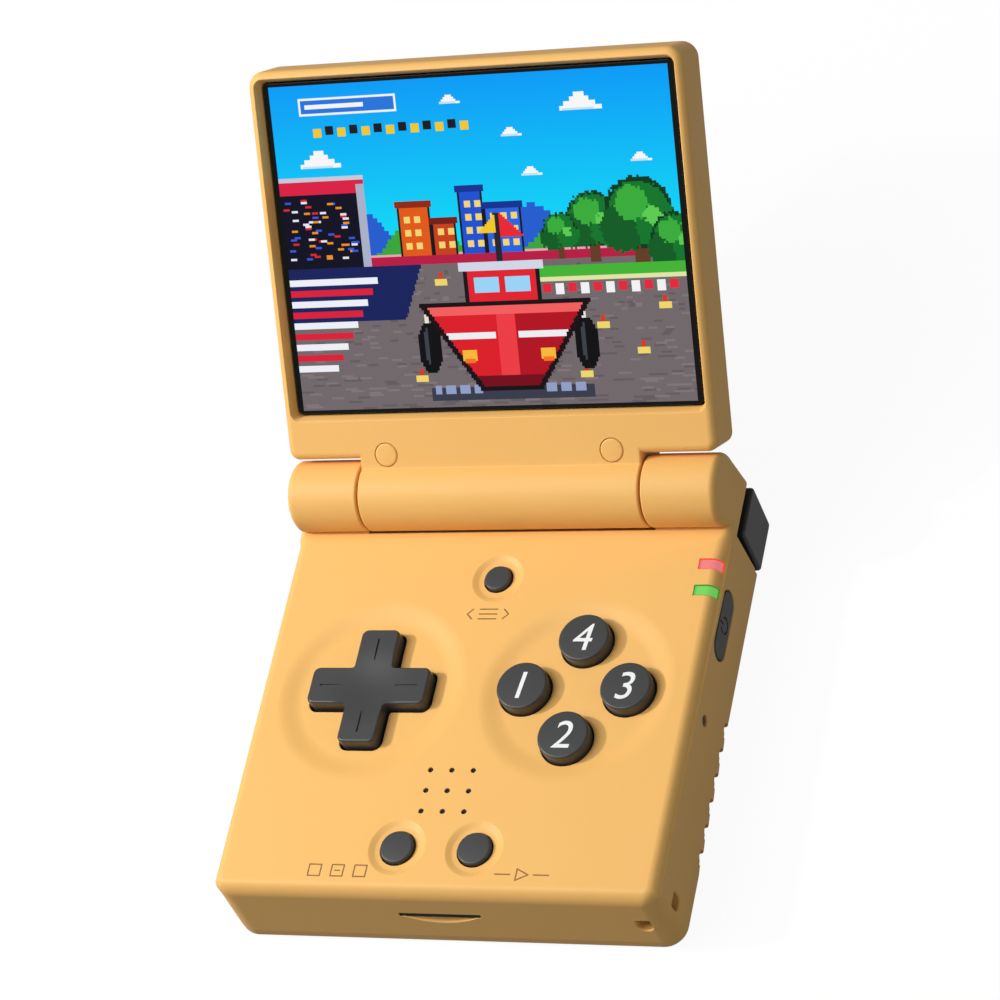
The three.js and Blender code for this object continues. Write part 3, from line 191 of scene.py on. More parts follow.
def turned(name, profile, across, up, place=alongZ, sides=96, closedLoop=False):
    # (r cos t + across, r sin t + up, h) for the profile's pairs of radius and height
    t = np.linspace(0, 2 * math.pi, sides, endpoint=False)
    radius, height = np.asarray(profile, float).T
    rings = np.stack([across + radius[:, None] * np.cos(t), up + radius[:, None] * np.sin(t),
                      np.repeat(height[:, None], sides, 1)], -1)
    return ringSolid(name, place(rings), closedLoop)


def block(name, x, y, z):
    # a plain box between three pairs of limits
    outline = np.array([[x[0], y[0]], [x[1], y[0]], [x[1], y[1]], [x[0], y[1]]], float)
    return pushed(name, outline, [(z[0], 0), (z[1], 0)])


def combine(target, tools, operation="DIFFERENCE"):
    # Cuts or joins closed meshes, then keeps the result as the target's own mesh.
    for tool in tools:
        step = target.modifiers.new(operation.lower(), "BOOLEAN")
        step.operation, step.object, step.solver = operation, tool, "MANIFOLD"
    shown = target.evaluated_get(bpy.context.evaluated_depsgraph_get())
    mesh = bpy.data.meshes.new_from_object(shown)
    target.modifiers.clear()
    before, target.data = target.data, mesh
    bpy.data.meshes.remove(before)
    for tool in tools:
        bpy.data.objects.remove(tool)
    return target


def cutOneByOne(target, tools):
    # for cutters that overlap each other
    for tool in tools:
        combine(target, [tool])


def finished(piece, body, material, stands=()):
    # smooth shading that breaks at real edges, the finish, and the piece's place in the frame
    piece.data.materials.clear()
    piece.data.materials.append(material)
    piece.data.shade_smooth()
    piece.data.set_sharp_from_angle(angle=softAngle)
    weigh = piece.modifiers.new("flat faces first", "WEIGHTED_NORMAL")
    weigh.keep_sharp = True
    weigh.weight = 100
    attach(piece, body)
    if stands:
        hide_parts(*stands)
    return piece


# finishes


class Wire:
    # One node's output. Operators on it add Math nodes.
    def __init__(self, graph, socket):
        self.graph, self.socket = graph, socket

    def math(self, operation, first, second):
        return self.graph.node("ShaderNodeMath", {"operation": operation}, [first, second])

    def __add__(self, other):
        return self.math("ADD", self, other)

    def __sub__(self, other):
        return self.math("SUBTRACT", self, other)

    def __rsub__(self, other):
        return self.math("SUBTRACT", other, self)

    def __mul__(self, other):
        return self.math("MULTIPLY", self, other)

    __radd__ = __add__
    __rmul__ = __mul__


class Graph:
    # A material's nodes. The shader is the Principled node that every finish here uses.
    def __init__(self, name, colour, roughness, metallic=0.0):
        self.material = bpy.data.materials.new(name)
        self.material.use_nodes = True
        self.nodes = self.material.node_tree.nodes
        self.links = self.material.node_tree.links
        self.shader = self.nodes["Principled BSDF"]
        self.material.diffuse_color = (*linear(colour), 1)
        self.put("Base Color", (*linear(colour), 1))
        self.put("Roughness", roughness)
        self.put("Metallic", metallic)

    def put(self, name, value):
        self.join(self.shader.inputs[name], value)

    def join(self, socket, value):
        if isinstance(value, Wire):
            self.links.new(value.socket, socket)
        else:
            socket.default_value = value

    def node(self, kind, settings=None, values=(), output=0):
        # a node's type, its settings, the values or links of its sockets and the output wanted
        made = self.nodes.new(kind)
        for name, value in (settings or {}).items():
            setattr(made, name, value)
        for key, value in values.items() if isinstance(values, dict) else enumerate(values):
            self.join(made.inputs[key], value)
        return Wire(self, made.outputs[output])

    def noise(self, scale, detail, roughness=0.5):
        place = self.node("ShaderNodeTexCoord", output="Object")
        return self.node("ShaderNodeTexNoise", {"noise_dimensions": "3D"},
                         {"Vector": place, "Scale": scale, "Detail": detail, "Roughness": roughness})

    def mixColour(self, share, first, second):
        return self.node("ShaderNodeMix", {"data_type": "RGBA"}, {0: share, 6: first, 7: second}, output=2)

    def bump(self, height, strength, distance):
        return self.node("ShaderNodeBump", {},
                         {"Strength": strength, "Distance": distance * mm, "Height": height})


def linear(colour):
    # 0 to 255 as seen on a screen, to the linear share of light
    share = np.asarray(colour, float) / 255
    return tuple(np.where(share <= 0.04045, share / 12.92, ((share + 0.055) / 1.055) ** 2.4))


shellFinish = {
    "colour": (247, 191, 111), "deep": (240, 181, 99), "roughness": 0.46, "gloss": 0.25, "mottleScale": 60,
    "mottle": 0.35, "grainScale": 2600, "grain": 0.10, "grainHeight": 0.03, "grainGloss": 0.12,
    "driftGloss": 0.06,
}
keyFinish = {
    "colour": (67, 67, 67), "deep": (61, 61, 62), "roughness": 0.36, "gloss": 0.4, "mottleScale": 120,
    "mottle": 0.5, "grainScale": 3800, "grain": 0.12, "grainHeight": 0.02, "grainGloss": 0.12,
    "driftGloss": 0.06,
}
triggerFinish = dict(keyFinish, colour=(53, 53, 53), deep=(48, 48, 49), roughness=0.4)


def mouldedShell(name, spec):
    # warm satin plastic: a slow drift of tone, a fine spark-eroded grain, and gloss that follows both
    graph = Graph(name, spec["colour"], spec["roughness"])
    drift = graph.noise(spec["mottleScale"], 2)
    grain = graph.noise(spec["grainScale"], 4, 0.6)
    tone = graph.mixColour(drift * spec["mottle"], (*linear(spec["colour"]), 1), (*linear(spec["deep"]), 1))
    swing = (grain - 0.5) * spec["grainGloss"]
    graph.put("Base Color", tone)
    graph.put("Roughness", spec["roughness"] + swing + (drift - 0.5) * spec["driftGloss"])
    graph.put("Normal", graph.bump(grain, spec["grain"], spec["grainHeight"]))
    graph.put("Specular IOR Level", spec["gloss"])
    return graph.material


matter = {"scale": 1500, "detail": 3, "swing": 0.15, "relief": 0.1, "height": 0.02, "metallic": 0.0}
metal = {"scale": 1800, "detail": 4, "swing": 0.2, "relief": 0.1, "height": 0.01, "metallic": 1.0}
ink = {"scale": 2200, "detail": 3, "swing": 0.2, "relief": 0.08, "height": 0.01, "metallic": 0.0}
polish = {"scale": 45, "detail": 3, "swing": 0.06, "relief": 0.0, "height": 0.0, "metallic": 0.0}


def grained(name, colour, roughness, spec=matter):
    # one noise that moves the gloss and, where there is relief, the surface
    graph = Graph(name, colour, roughness, spec["metallic"])
    grain = graph.noise(spec["scale"], spec["detail"])
    graph.put("Roughness", roughness + (grain - 0.5) * spec["swing"])
    if spec["relief"]:
        graph.put("Normal", graph.bump(grain, spec["relief"], spec["height"]))
    return graph.material


pictureFinish = {"colour": (4, 4, 5), "roughness": 0.2, "glow": 0.92, "gloss": 0.2}


def litPicture(name, spec):
    # a dark pane that glows with the picture's own cell colours
    graph = Graph(name, spec["colour"], spec["roughness"])
    colour = graph.node("ShaderNodeAttribute", {"attribute_name": "pixelColour"}, output="Color")
    graph.put("Emission Color", colour)
    graph.put("Emission Strength", spec["glow"])
    graph.put("Specular IOR Level", spec["gloss"])
    return graph.material


lightFinish = {"body": 0.35, "roughness": 0.3, "cloudScale": 900, "cloudDetail": 2, "cloudGloss": 0.15}


def tintedLight(name, colour, glow, spec=lightFinish):
    # translucent coloured window with a weak light of its own
    graph = Graph(name, colour, spec["roughness"])
    cloud = graph.noise(spec["cloudScale"], spec["cloudDetail"])
    graph.put("Roughness", spec["roughness"] + (cloud - 0.5) * spec["cloudGloss"])
    graph.put("Base Color", (*(np.array(linear(colour)) * spec["body"]), 1))
    graph.put("Emission Color", (*linear(colour), 1))
    graph.put("Emission Strength", glow)
    return graph.material


shellPlastic = mouldedShell("shell plastic", shellFinish)
keyPlastic = mouldedShell("key plastic", keyFinish)
triggerPlastic = mouldedShell("trigger plastic", triggerFinish)
whiteInk = grained("white ink", (240, 241, 240), 0.5, ink)
# painted shade: the brown seen in the engraved grooves
grooveShade = grained("groove shade", (150, 104, 48), 0.6)
blackGloss = grained("black lens border", (10, 11, 12), 0.12, polish)
pictureGlow = litPicture("display picture", pictureFinish)
darkPlastic = grained("black plastic", (30, 30, 32), 0.5)
# painted shade: near black for the shaded inside of the speaker holes and the card slot
holeShade = grained("hole shade black", (8, 6, 5), 0.8)
silicone = grained("grey silicone", (140, 143, 146), 0.8)
boardMask = grained("green solder mask", (31, 91, 58), 0.5)
batteryFilm = grained("battery film", (47, 51, 56), 0.55)
ribbonFilm = grained("flat cable film", (181, 114, 44), 0.45)
steel = grained("plated steel", (186, 189, 193), 0.35, metal)
print("finishes made")

# base shells: the envelope

base = {
    "half": 42.5, "front": -37.3, "rear": 37.3, "back": 49.4, "face": 16.6, "under": 15.0, "seam": 2.6,
    "skirt": -6.0, "endRound": 4.0, "faceRound": 2.3, "knuckleRound": 1.5, "creaseRound": 1.0,
    "slopeRound": 1.5, "frontRound": 2.8, "wall": 2.0, "floor": 1.6, "footRound": 1.2, "tongue": 14.7,
    "inner": 1.5, "tongueRoof": (11.4, 13.4), "recessRound": 0.4, "tongueRound": 1.2, "boreFloor": 12.0,
    "crease": (1.2, 2.6),
}
hinge = {"y": 42.8, "z": 20.4, "radius": 6.6, "barrel": 27.3, "gap": 0.4, "lip": 0.4, "tuck": 0.1, "tilt": 45}


def sideProfile():
    # From below the back wall up over the round knuckle, along the face and down the rounded front edge.
    # Each point comes with the radius of the rounding at the two ends there.
    meeting = math.asin((hinge["z"] - base["face"]) / hinge["radius"])
    radius = base["frontRound"]
    knuckle = arcPoints(hinge["y"], hinge["z"], hinge["radius"], 0, math.pi + meeting, 64)
    crease = knuckle[-1, 0] - np.array(base["crease"])
    nose = arcPoints(base["front"] + radius, base["face"] - radius, radius, math.pi / 2, math.pi, 12)
    points = np.vstack([[[base["front"], base["skirt"]], [base["back"], base["skirt"]]], knuckle,
                        [[crease[0], base["face"]], [crease[1], base["face"]]], nose])
    rounding = np.concatenate([
        [base["endRound"], base["knuckleRound"]], np.full(len(knuckle) - 1, base["knuckleRound"]),
        [base["creaseRound"], base["slopeRound"], base["faceRound"]],
        np.linspace(base["faceRound"], base["endRound"], len(nose)),
    ])
    return points, rounding


drafts = {
    "low": 2.6, "high": 14.3, "side": 0.6, "sideFrom": 37.0, "rear": 31.0, "fade": 6.0, "front": 1.0,
    "frontFrom": 33.5, "knuckle": (14.5, 20.0), "heightLimit": 1.2, "wallLimit": 1.1,
}


def drafted(piece):
    # The walls lean in towards the face: x and y lose s w d, s the share of the height, w the nearness
    # to the wall and d the draft. Towards the rear only the knuckles, above the face, lean in.
    points = coordinates(piece.data) / mm
    x, y, z = points.T
    limit = drafts["wallLimit"]
    height = np.clip((z - drafts["low"]) / (drafts["high"] - drafts["low"]), 0, drafts["heightLimit"])
    side = np.clip((np.abs(x) - drafts["sideFrom"]) / (base["half"] - drafts["sideFrom"]), 0, limit)
    nose = np.clip((-y - drafts["frontFrom"]) / (-base["front"] - drafts["frontFrom"]), 0, limit)
    ahead = np.clip((drafts["rear"] + drafts["fade"] - y) / drafts["fade"], 0, 1)
    ahead = np.maximum(ahead, np.interp(z, drafts["knuckle"], [0, 1]))
    points[:, 0] -= np.sign(x) * side * height * ahead * drafts["side"]
    points[:, 1] += nose * height * drafts["front"]
    piece.data.vertices.foreach_set("co", (points * mm).ravel())
    piece.data.update()
    return piece


def footprint(inset, recessRound, tongueRound, endRound):
    # the base from above: a rectangle with a tongue between the shoulder buttons, its walls moved in by inset
    side, tongue = base["half"] - inset, base["tongue"] - inset
    front, rear, back = base["front"] + inset, base["rear"] - inset, base["back"] - inset
    corners = [[-side, front], [side, front], [side, rear], [tongue, rear], [tongue, back], [-tongue, back],
               [-tongue, rear], [-side, rear]]
    recess, tip = [recessRound] * 2, [tongueRound] * 2
    return roundedOutline(corners, np.array([endRound] * 2 + recess + tip + recess))


def roomOutline():
    # the inside of the base's walls
    return footprint(base["wall"], base["inner"], base["inner"], base["inner"])


def cradleTools():
    # room for the lid's barrel, and the rounded inner edge of each knuckle: r sin t out, r cos t along
    half, radius = hinge["barrel"] + hinge["gap"], hinge["radius"] + hinge["gap"]
    outline = circleOutline(hinge["y"], hinge["z"], radius, 128)
    tools = [pushed("cradle tool", outline, [(-half, 0), (half, 0)], alongX),
             block("cradle back", (-half, half), (hinge["y"], base["back"] + over),
                   (hinge["z"] - radius, hinge["z"] + radius + over))]
    t = np.linspace(0, math.pi / 2, 7)
    lip, start = hinge["lip"], half - hinge["tuck"]
    inner = np.column_stack([hinge["radius"] - lip + lip * np.sin(t), half + lip - lip * np.cos(t)])
    profile = np.vstack([inner, [radius, half + lip], [radius, start], [hinge["radius"] - lip, start]])
    for side in (1, -1):
        tools.append(turned("knuckle lip", profile * [1, side], hinge["y"], hinge["z"], alongX,
                            closedLoop=True))
    return tools


shoulder = {
    "front": 37.8, "back": 48.1, "low": 0.2, "high": 11.6, "lean": 1.1, "corner": 0.9, "edge": 0.6,
    "under": 13.7, "inner": (15.1, 27.7), "outer": (29.3, 42.9), "ribX": 28.5, "rib": 0.8, "ribReach": 5.0,
}


def cutShoulderRoom(housing, side):
    # an open room at the rear for two buttons, with one rib between them
    rear, under = base["rear"], shoulder["under"]
    reach = sorted([side * base["tongue"], side * (base["half"] + over)])
    rib = [side * shoulder["ribX"] - shoulder["rib"] / 2, side * shoulder["ribX"] + shoulder["rib"] / 2]
    combine(housing, [block("shoulder room", reach, (rear, base["back"] + over), (0, under))])
    combine(housing, [block("shoulder rib", rib, (rear - sink, rear + shoulder["ribReach"]),
                            (base["seam"], under + sink))], "UNION")


# base shells: holes in the control face

dish = {"radius": 18.5, "floor": 13.5, "depth": 0.75}
crossPad = {
    "x": -19.8, "y": 4.0, "span": 23.0, "arm": 7.4, "top": 18.35, "low": 14.8, "hole": 0.5, "corner": 1.3,
    "innerCorner": 0.5, "edge": 0.45, "footEdge": 0.2, "dip": 0.5, "dipRadius": 8.5, "dipCoreShare": 0.02,
    "mark": 4.3, "markWidth": 0.34, "markDepth": 0.28, "markCorner": 0.12, "markAt": 7.4,
}
roundKey = {
    "x": 19.54, "y": 4.13, "ring": 9.77, "radius": 4.7, "top": 18.3, "edge": 0.4, "gap": 0.3, "lip": 0.1,
    "stem": 2.0, "flange": 5.6, "flangeLow": 13.9, "flangeHigh": 14.7, "low": 13.6,
}
smallKey = {
    "radius": 3.1, "top": 16.9, "edge": 0.35, "gap": 0.3, "stem": 2.0, "flange": 3.8, "flangeLow": 13.9,
    "flangeHigh": 14.7, "low": 13.6, "collar": 5.45, "collarFloor": 4.25, "collarDepth": 0.5,
    "collarSoftShare": 0.25,
}
menuKey = dict(smallKey, radius=2.5, flange=3.3, collar=4.95, collarFloor=3.75)
smallSpots = {
    "menu_button": (-0.24, 27.1, menuKey), "select_button": (-7.6, -27.35, smallKey),
    "start_button": (7.0, -27.35, smallKey),
}
faceSpots = {
    "right_button": (roundKey["x"] + roundKey["ring"], roundKey["y"]),
    "upper_button": (roundKey["x"], roundKey["y"] + roundKey["ring"]),
    "left_button": (roundKey["x"] - roundKey["ring"], roundKey["y"]),
    "lower_button": (roundKey["x"], roundKey["y"] - roundKey["ring"]),
}
grille = {
    "x": -0.57, "y": -16.1, "pitch": 4.07, "count": 3, "hole": 0.5, "lip": 0.08, "sink": 0.28, "gap": 0.02,
    "thickness": 0.5, "hollow": 0.08, "rimDrop": 0.06, "core": 0.05,
}


def hollowTool(x, y, rim, floor, depth, soft=1.0, sides=128):
    # a round hollow: its wall is straight, or half a cosine wave when soft is 1
    t = np.linspace(0, 1, 15)
    radius = floor + (rim - floor) * t
    height = base["face"] - depth * ((1 - t) * (1 - soft) + (1 + np.cos(math.pi * t)) / 2 * soft)
    profile = np.vstack([[axis, base["face"] - depth], np.column_stack([radius, height]),
                         [rim, base["face"] + over], [axis, base["face"] + over]])
    return turned("hollow tool", profile, x, y, sides=sides)


def boreTool(x, y, radius, lip, sides=72):
    # a round hole through the face whose mouth opens with a quarter round
    outline = circleOutline(x, y, radius, sides)
    return pushed("bore tool", outline, flaredMouth(base["boreFloor"], base["face"], lip))


def grilleSpots():
    # a square grid about the grille's middle
    steps = (np.arange(grille["count"]) - (grille["count"] - 1) / 2) * grille["pitch"]
    return [(grille["x"] + x, grille["y"] + y) for x in steps for y in steps]


def crossOutline(grow=0.0, steps=8):
    # three corners of one arm, carried through four quarter turns, then rounded
    far, near = crossPad["span"] / 2 + grow, crossPad["arm"] / 2 + grow
    quarter = np.array([[far, -near], [far, near], [near, near]])
    turns = np.arange(4) * math.pi / 2
    spin = np.stack([np.cos(turns), -np.sin(turns), np.sin(turns), np.cos(turns)], -1).reshape(4, 2, 2)
    corners = np.einsum("tij,kj->tki", spin, quarter).reshape(-1, 2)
    outer = crossPad["corner"] + grow
    radius = np.tile([outer, outer, crossPad["innerCorner"]], 4)
    return roundedOutline(corners + [crossPad["x"], crossPad["y"]], radius, steps)


def cutControlFace(housing):
    # two wide dishes, a collar round each small key, then the holes for keys, cross and speaker
    for spot in (crossPad, roundKey):
        combine(housing, [hollowTool(spot["x"], spot["y"], dish["radius"], dish["floor"], dish["depth"],
                                     sides=160)])
    for x, y, key in smallSpots.values():
        collar = hollowTool(x, y, key["collar"], key["collarFloor"], key["collarDepth"], key["collarSoftShare"])
        combine(housing, [collar, boreTool(x, y, key["radius"] + key["gap"], 0)])
    mouth = flaredMouth(base["boreFloor"], base["face"] - dish["depth"], roundKey["lip"])
    combine(housing, [pushed("key tool", circleOutline(x, y, roundKey["radius"] + roundKey["gap"], 80), mouth)
                      for x, y in faceSpots.values()])
    combine(housing, [pushed("cross tool", crossOutline(crossPad["hole"]), mouth)])
    combine(housing, [boreTool(x, y, grille["hole"], grille["lip"], 24) for x, y in grilleSpots()])


# base shells: holes in the walls

cardSlot = {
    "x": -0.1, "half": 7.75, "z": 9.35, "opening": 1.1, "reach": 14.0, "drop": 2.35, "depth": 0.5,
    "floorShare": 0.75, "shadeBlock": (0.12, 0.9), "shadeGrow": 0.02,
}


def slotTools():
    # the card slot, and below it a half moon whose wall leans in towards the slot
    x, half, z, reach = cardSlot["x"], cardSlot["half"], cardSlot["z"], cardSlot["opening"] / 2
    front = base["front"]
    opening = block("slot tool", (x - half, x + half), (front - over, front + cardSlot["reach"]),
                    (z - reach, z + reach))

    def moon(drop):
        radius = (half ** 2 + drop ** 2) / (2 * drop)
        lean = math.asin(half / radius)
        curve = arcPoints(x, z - drop + radius, radius, -math.pi / 2 - lean, -math.pi / 2 + lean, 40)
        return np.vstack([curve, [[x + half, z + reach], [x - half, z + reach]]])

    growth = 1 + (1 - cardSlot["floorShare"]) / cardSlot["depth"] * over
    deep, outer = moon(cardSlot["drop"] * cardSlot["floorShare"]), moon(cardSlot["drop"] * growth)
    rings = np.stack([np.column_stack([deep, np.full(len(deep), front + cardSlot["depth"])]),
                      np.column_stack([outer, np.full(len(outer), front - over)])])
    return [opening, ringSolid("scoop tool", alongY(rings))]


strapRing = {
    "bend": 5.1, "half": 1.4, "low": 6.3, "high": 9.3, "lip": 0.3, "sideLip": 0.5, "roofCorner": 0.25,
    "floorRoundShare": 0.95, "mouth": 0.8, "sideMouth": 0.9, "overTurn": 0.15,
}


def strapTools():
    # A channel round the corner with a flat roof and a round floor, and a soft lip at both mouths:
    # (corner + (r + u) cos t, corner + (r + u) sin t, z) for the section's pairs (u, z)
    reach, bend = strapRing["half"], strapRing["bend"]
    corners = np.array([reach * strapRing["floorRoundShare"]] * 2 + [strapRing["roofCorner"]] * 2)
    section = roundedOutline([[-reach, strapRing["low"]], [reach, strapRing["low"]],
                              [reach, strapRing["high"]], [-reach, strapRing["high"]]], corners, 8)
    turn = strapRing["overTurn"]
    t = np.linspace(math.pi / 2 - turn, math.pi + turn, 33)[:, None]
    across = bend + section[:, 0]
    rings = np.stack([base["half"] + across * np.cos(t), base["front"] + across * np.sin(t),
                      np.broadcast_to(section[:, 1], (len(t), len(section)))], -1)
    side = flaredMouth(base["half"] - strapRing["sideMouth"], base["half"], strapRing["sideLip"])
    front = flaredMouth(-base["front"] - strapRing["mouth"], -base["front"], strapRing["lip"]) * [-1, 1]
    return [ringSolid("strap tool", rings),
            pushed("strap mouth", section + [base["front"] + bend, 0], side, alongX),
            pushed("strap mouth", section + [base["half"] - bend, 0], front, alongY)]


lights = {
    "width": 2.2, "left": 37.7, "turn": 80.0, "red": 29.8, "green": 24.4, "rim": 0.09, "sink": 0.4, "gap": 0.01,
    "pocket": 1.7, "thickness": 1.2, "below": 0.02, "paneRise": 0.04, "paneThickness": 0.3,
}


def bandSolid(name, y, width, outer, inner, inset=0.0):
    # a band that follows the top right edge, from the face to a little way round, inset at both ends
    radius = base["faceRound"]
    x, z = base["half"] - radius, base["face"] - radius
    end = math.pi / 2 - math.radians(lights["turn"]) + inset / radius
    left = lights["left"] + inset
    outline = np.vstack([
        [[left, z + radius - inner]], arcPoints(x, z, radius - inner, math.pi / 2, end, 16),
        arcPoints(x, z, radius + outer, end, math.pi / 2, 16), [[left, z + radius + outer]],
    ])
    return pushed(name, outline, [(y - width / 2, 0), (y + width / 2, 0)], alongY)


sideKeys = {
    "y": 20.8, "z": 10.35, "depth": 2.6, "footEdge": 0.05,
    "power": {"length": 13.3, "width": 4.8, "gap": 0.3, "proud": 0.0, "edge": 0.3},
    "volume": {"length": 15.0, "width": 4.2, "gap": 0.35, "proud": 0.5, "edge": 0.5},
}
pinHole = {"y": 1.5, "z": 10.6, "radius": 1.05}
jack = {"y": -18.3, "z": 6.2, "radius": 2.8}
ports = {
    "z": 7.0, "chargeX": 6.35, "charge": (9.5, 3.8), "videoX": -5.3, "videoHalf": 5.8, "videoHigh": 1.9,
    "videoSlope": 1.05, "videoCorner": 0.35, "sideLip": 0.2, "rearLip": 0.12,
}


def videoOutline():
    # a flat socket mouth whose two lower corners are cut off
    half, high = ports["videoHalf"], ports["videoHigh"]
    foot = half - ports["videoSlope"]
    corners = np.array([[-foot, -high], [foot, -high], [half, 0], [half, high], [-half, high], [-half, 0]])
    return roundedOutline(corners + [ports["videoX"], ports["z"]], ports["videoCorner"])


def sideKeyOutline(key, grow=0.0):
    # a stadium in the side wall, grown all round
    return stadiumOutline(sideKeys["y"], sideKeys["z"], key["length"] + 2 * grow, key["width"] + 2 * grow)


def sideTools():
    # holes through the side and rear walls, each with a small round lip
    through = base["wall"] + over
    right = flaredMouth(base["half"] - through, base["half"], ports["sideLip"])
    left = right * [-1, 1]
    back = flaredMouth(base["back"] - through, base["back"], ports["rearLip"])
    power, volume = sideKeys["power"], sideKeys["volume"]
    return [
        pushed("power tool", sideKeyOutline(power, power["gap"]), right, alongX),
        pushed("volume tool", sideKeyOutline(volume, volume["gap"]), left, alongX),
        pushed("pin tool", circleOutline(pinHole["y"], pinHole["z"], pinHole["radius"]), right, alongX),
        pushed("jack tool", circleOutline(jack["y"], jack["z"], jack["radius"]), left, alongX),
        pushed("charge tool", stadiumOutline(ports["chargeX"], ports["z"], *ports["charge"]), back, alongY),
        pushed("video tool", videoOutline(), back, alongY),
    ]


# labels: engraved lines on the face, each a run of x, y places about the middle of its mark

labels = {
    "width": 0.27, "depth": 0.12, "shadeFill": 0.04, "gap": 0.01, "menu": (-0.57, 19.65), "select": (-17.9, -32.1),
    "start": (16.85, -32.1),
    "marks": {
        "menu": [(-3.0, 1.0, -4.0, 0, -3.0, -1.0), (-1.7, 1.0, 1.7, 1.0), (-1.7, 0, 1.7, 0),
                 (-1.7, -1.0, 1.7, -1.0), (3.0, 1.0, 4.0, 0, 3.0, -1.0)],
        "select": [(-5.5, -1.1, -3.2, -1.1, -3.2, 1.1, -5.5, 1.1, -5.5, -1.1),
                   (-1.15, -1.1, 1.15, -1.1, 1.15, 1.1, -1.15, 1.1, -1.15, -1.1), (-0.45, 0, 0.45, 0),
                   (3.2, -1.1, 5.5, -1.1, 5.5, 1.1, 3.2, 1.1, 3.2, -1.1)],
        "start": [(-5.0, 0, -2.2, 0), (-1.0, -1.1, 1.2, 0, -1.0, 1.1, -1.0, -1.1), (2.2, 0, 5.0, 0)],
    },
}


def strokeSolids(width, low, high):
    # each engraved line as a long solid with round ends
    solids = []
    for spot, lines in labels["marks"].items():
        middle = np.array(labels[spot])
        for line in lines:
            ends = np.array(line, float).reshape(-1, 2) + middle
            for start, end in zip(ends[:-1], ends[1:]):
                reach, lean = np.linalg.norm(end - start), math.atan2(*(end - start)[::-1])
                shape = stadiumOutline(0, 0, reach + width, width, 6)
                turn = np.array([[math.cos(lean), math.sin(lean)], [-math.sin(lean), math.cos(lean)]])
                solids.append(pushed("label line", shape @ turn + (start + end) / 2, [(low, 0), (high, 0)]))
    return solids


def engraving(width, low, high):
    # all lines of the three marks as one solid
    solids = strokeSolids(width, low, high)
    return combine(solids[0], solids[1:], "UNION")


def buildHousing():
    # the profile's point i at half - R (1 - cos t) across, moved in by R (1 - sin t), R its own rounding
    outline, rounding = sideProfile()
    rings = np.stack([np.column_stack([offsetOutline(outline, rounding * offset), base["half"] + rounding * at])
                      for at, offset in roundedEnds(-1, 0, 0, 1, 14)[1:]])
    rings[:, 0, 1] = rings[:, 1, 1] = base["seam"]
    rings[..., 1] = np.maximum(rings[..., 1], base["seam"])
    rings = np.concatenate([rings[::-1] * [1, 1, -1], rings])
    housing = ringSolid("housing_shell", alongX(rings))
    combine(housing, [pushed("room tool", roomOutline(), [(base["seam"] - over, 0), (base["under"], 0)])])
    roof = base["tongue"] - sink
    combine(housing, [block("tongue roof", (-roof, roof), (base["rear"] - sink, base["back"] - sink),
                            base["tongueRoof"])], "UNION")
    print("housing: envelope and room")
    for side in (1, -1):
        cutShoulderRoom(housing, side)
    combine(housing, cradleTools())
    print("housing: hinge cradle and shoulder rooms")
    cutControlFace(housing)
    print("housing: dishes, key holes and speaker holes")
    combine(housing, sideTools() + slotTools())
    cutOneByOne(housing, strapTools())
    for y in (lights["red"], lights["green"]):
        width, gap = lights["width"] + 2 * lights["gap"], lights["gap"]
        combine(housing, [bandSolid("window tool", y, width, over, lights["pocket"], -gap)])
    combine(housing, [engraving(labels["width"], base["face"] - labels["depth"], base["face"] + over)])
    print("housing: walls, slot, strap ring, light windows and labels")
    return drafted(housing)


notches = {
    "count": 6, "pitch": 5.0, "first": -20.1, "length": 2.4, "foot": -2.0, "top": 2.5, "depth": 1.3,
    "step": 0.45, "slope": 3.2, "lap": 0.1, "flat": 0.02, "startDrops": (0.6, 0.9), "endDrops": (1.4, 1.5),
}
screwRoom = {
    "radius": 2.2, "flare": 0.15, "depth": 1.2,
    "spots": [(-34.0, -27.3), (34.0, -27.3), (-33.0, 30.8), (33.0, 30.8)],
}


def notchTools(y, side):
    # an arch in the foot of the wall, and before it a cut that slopes back out to the wall
    half, deep, step, lap = base["half"], notches["depth"], notches["step"], notches["lap"]
    reach, top, far = notches["length"] / 2, notches["top"], half + over
    outline = boxOutline(y - reach, y + reach, notches["foot"], top, reach - notches["flat"], 12)
    arch = pushed("notch tool", outline, np.array([[half - deep, 0], [far, 0]]) * [side, 1], alongX)
    start, end = y - reach + lap, y - reach - notches["slope"]
    startHigh, startLow = top - np.array(notches["startDrops"])
    endHigh, endLow = top - np.array(notches["endDrops"])
    rings = np.array([[[half - step, start, -over], [half - step, start, startLow], [half, start, startHigh],
                       [far, start, startHigh], [far, start, -over]],
                      [[half, end, -over], [half, end, endLow], [half + lap, end, endHigh],
                       [far, end, endHigh], [far, end, -over]]])
    return [arch, ringSolid("notch slope", rings * [side, 1, 1])]


def buildCover():
    # the footprint carried up to the seam from a quarter round at its foot
    steps = 9
    foot = roundedEnds(0, base["seam"], base["footRound"], 0, steps)[:steps + 1]
    outline = footprint(0, base["recessRound"], base["tongueRound"], base["endRound"])
    cover = pushed("rear_cover_shell", outline, np.vstack([foot, [base["seam"], 0]]))
    combine(cover, [pushed("room tool", roomOutline(), [(base["floor"], 0), (base["seam"] + over, 0)])])
    radius, flare, depth = screwRoom["radius"], screwRoom["flare"], screwRoom["depth"]
    profile = [[radius, -over], [radius + flare, 0], [radius, flare], [radius, depth], [axis, depth]]
    combine(cover, [turned("screw room", profile, x, y) for x, y in screwRoom["spots"]])
    for step in range(notches["count"]):
        for side in (-1, 1):
            cutOneByOne(cover, notchTools(notches["first"] + step * notches["pitch"], side))
    print("rear cover made")
    return cover


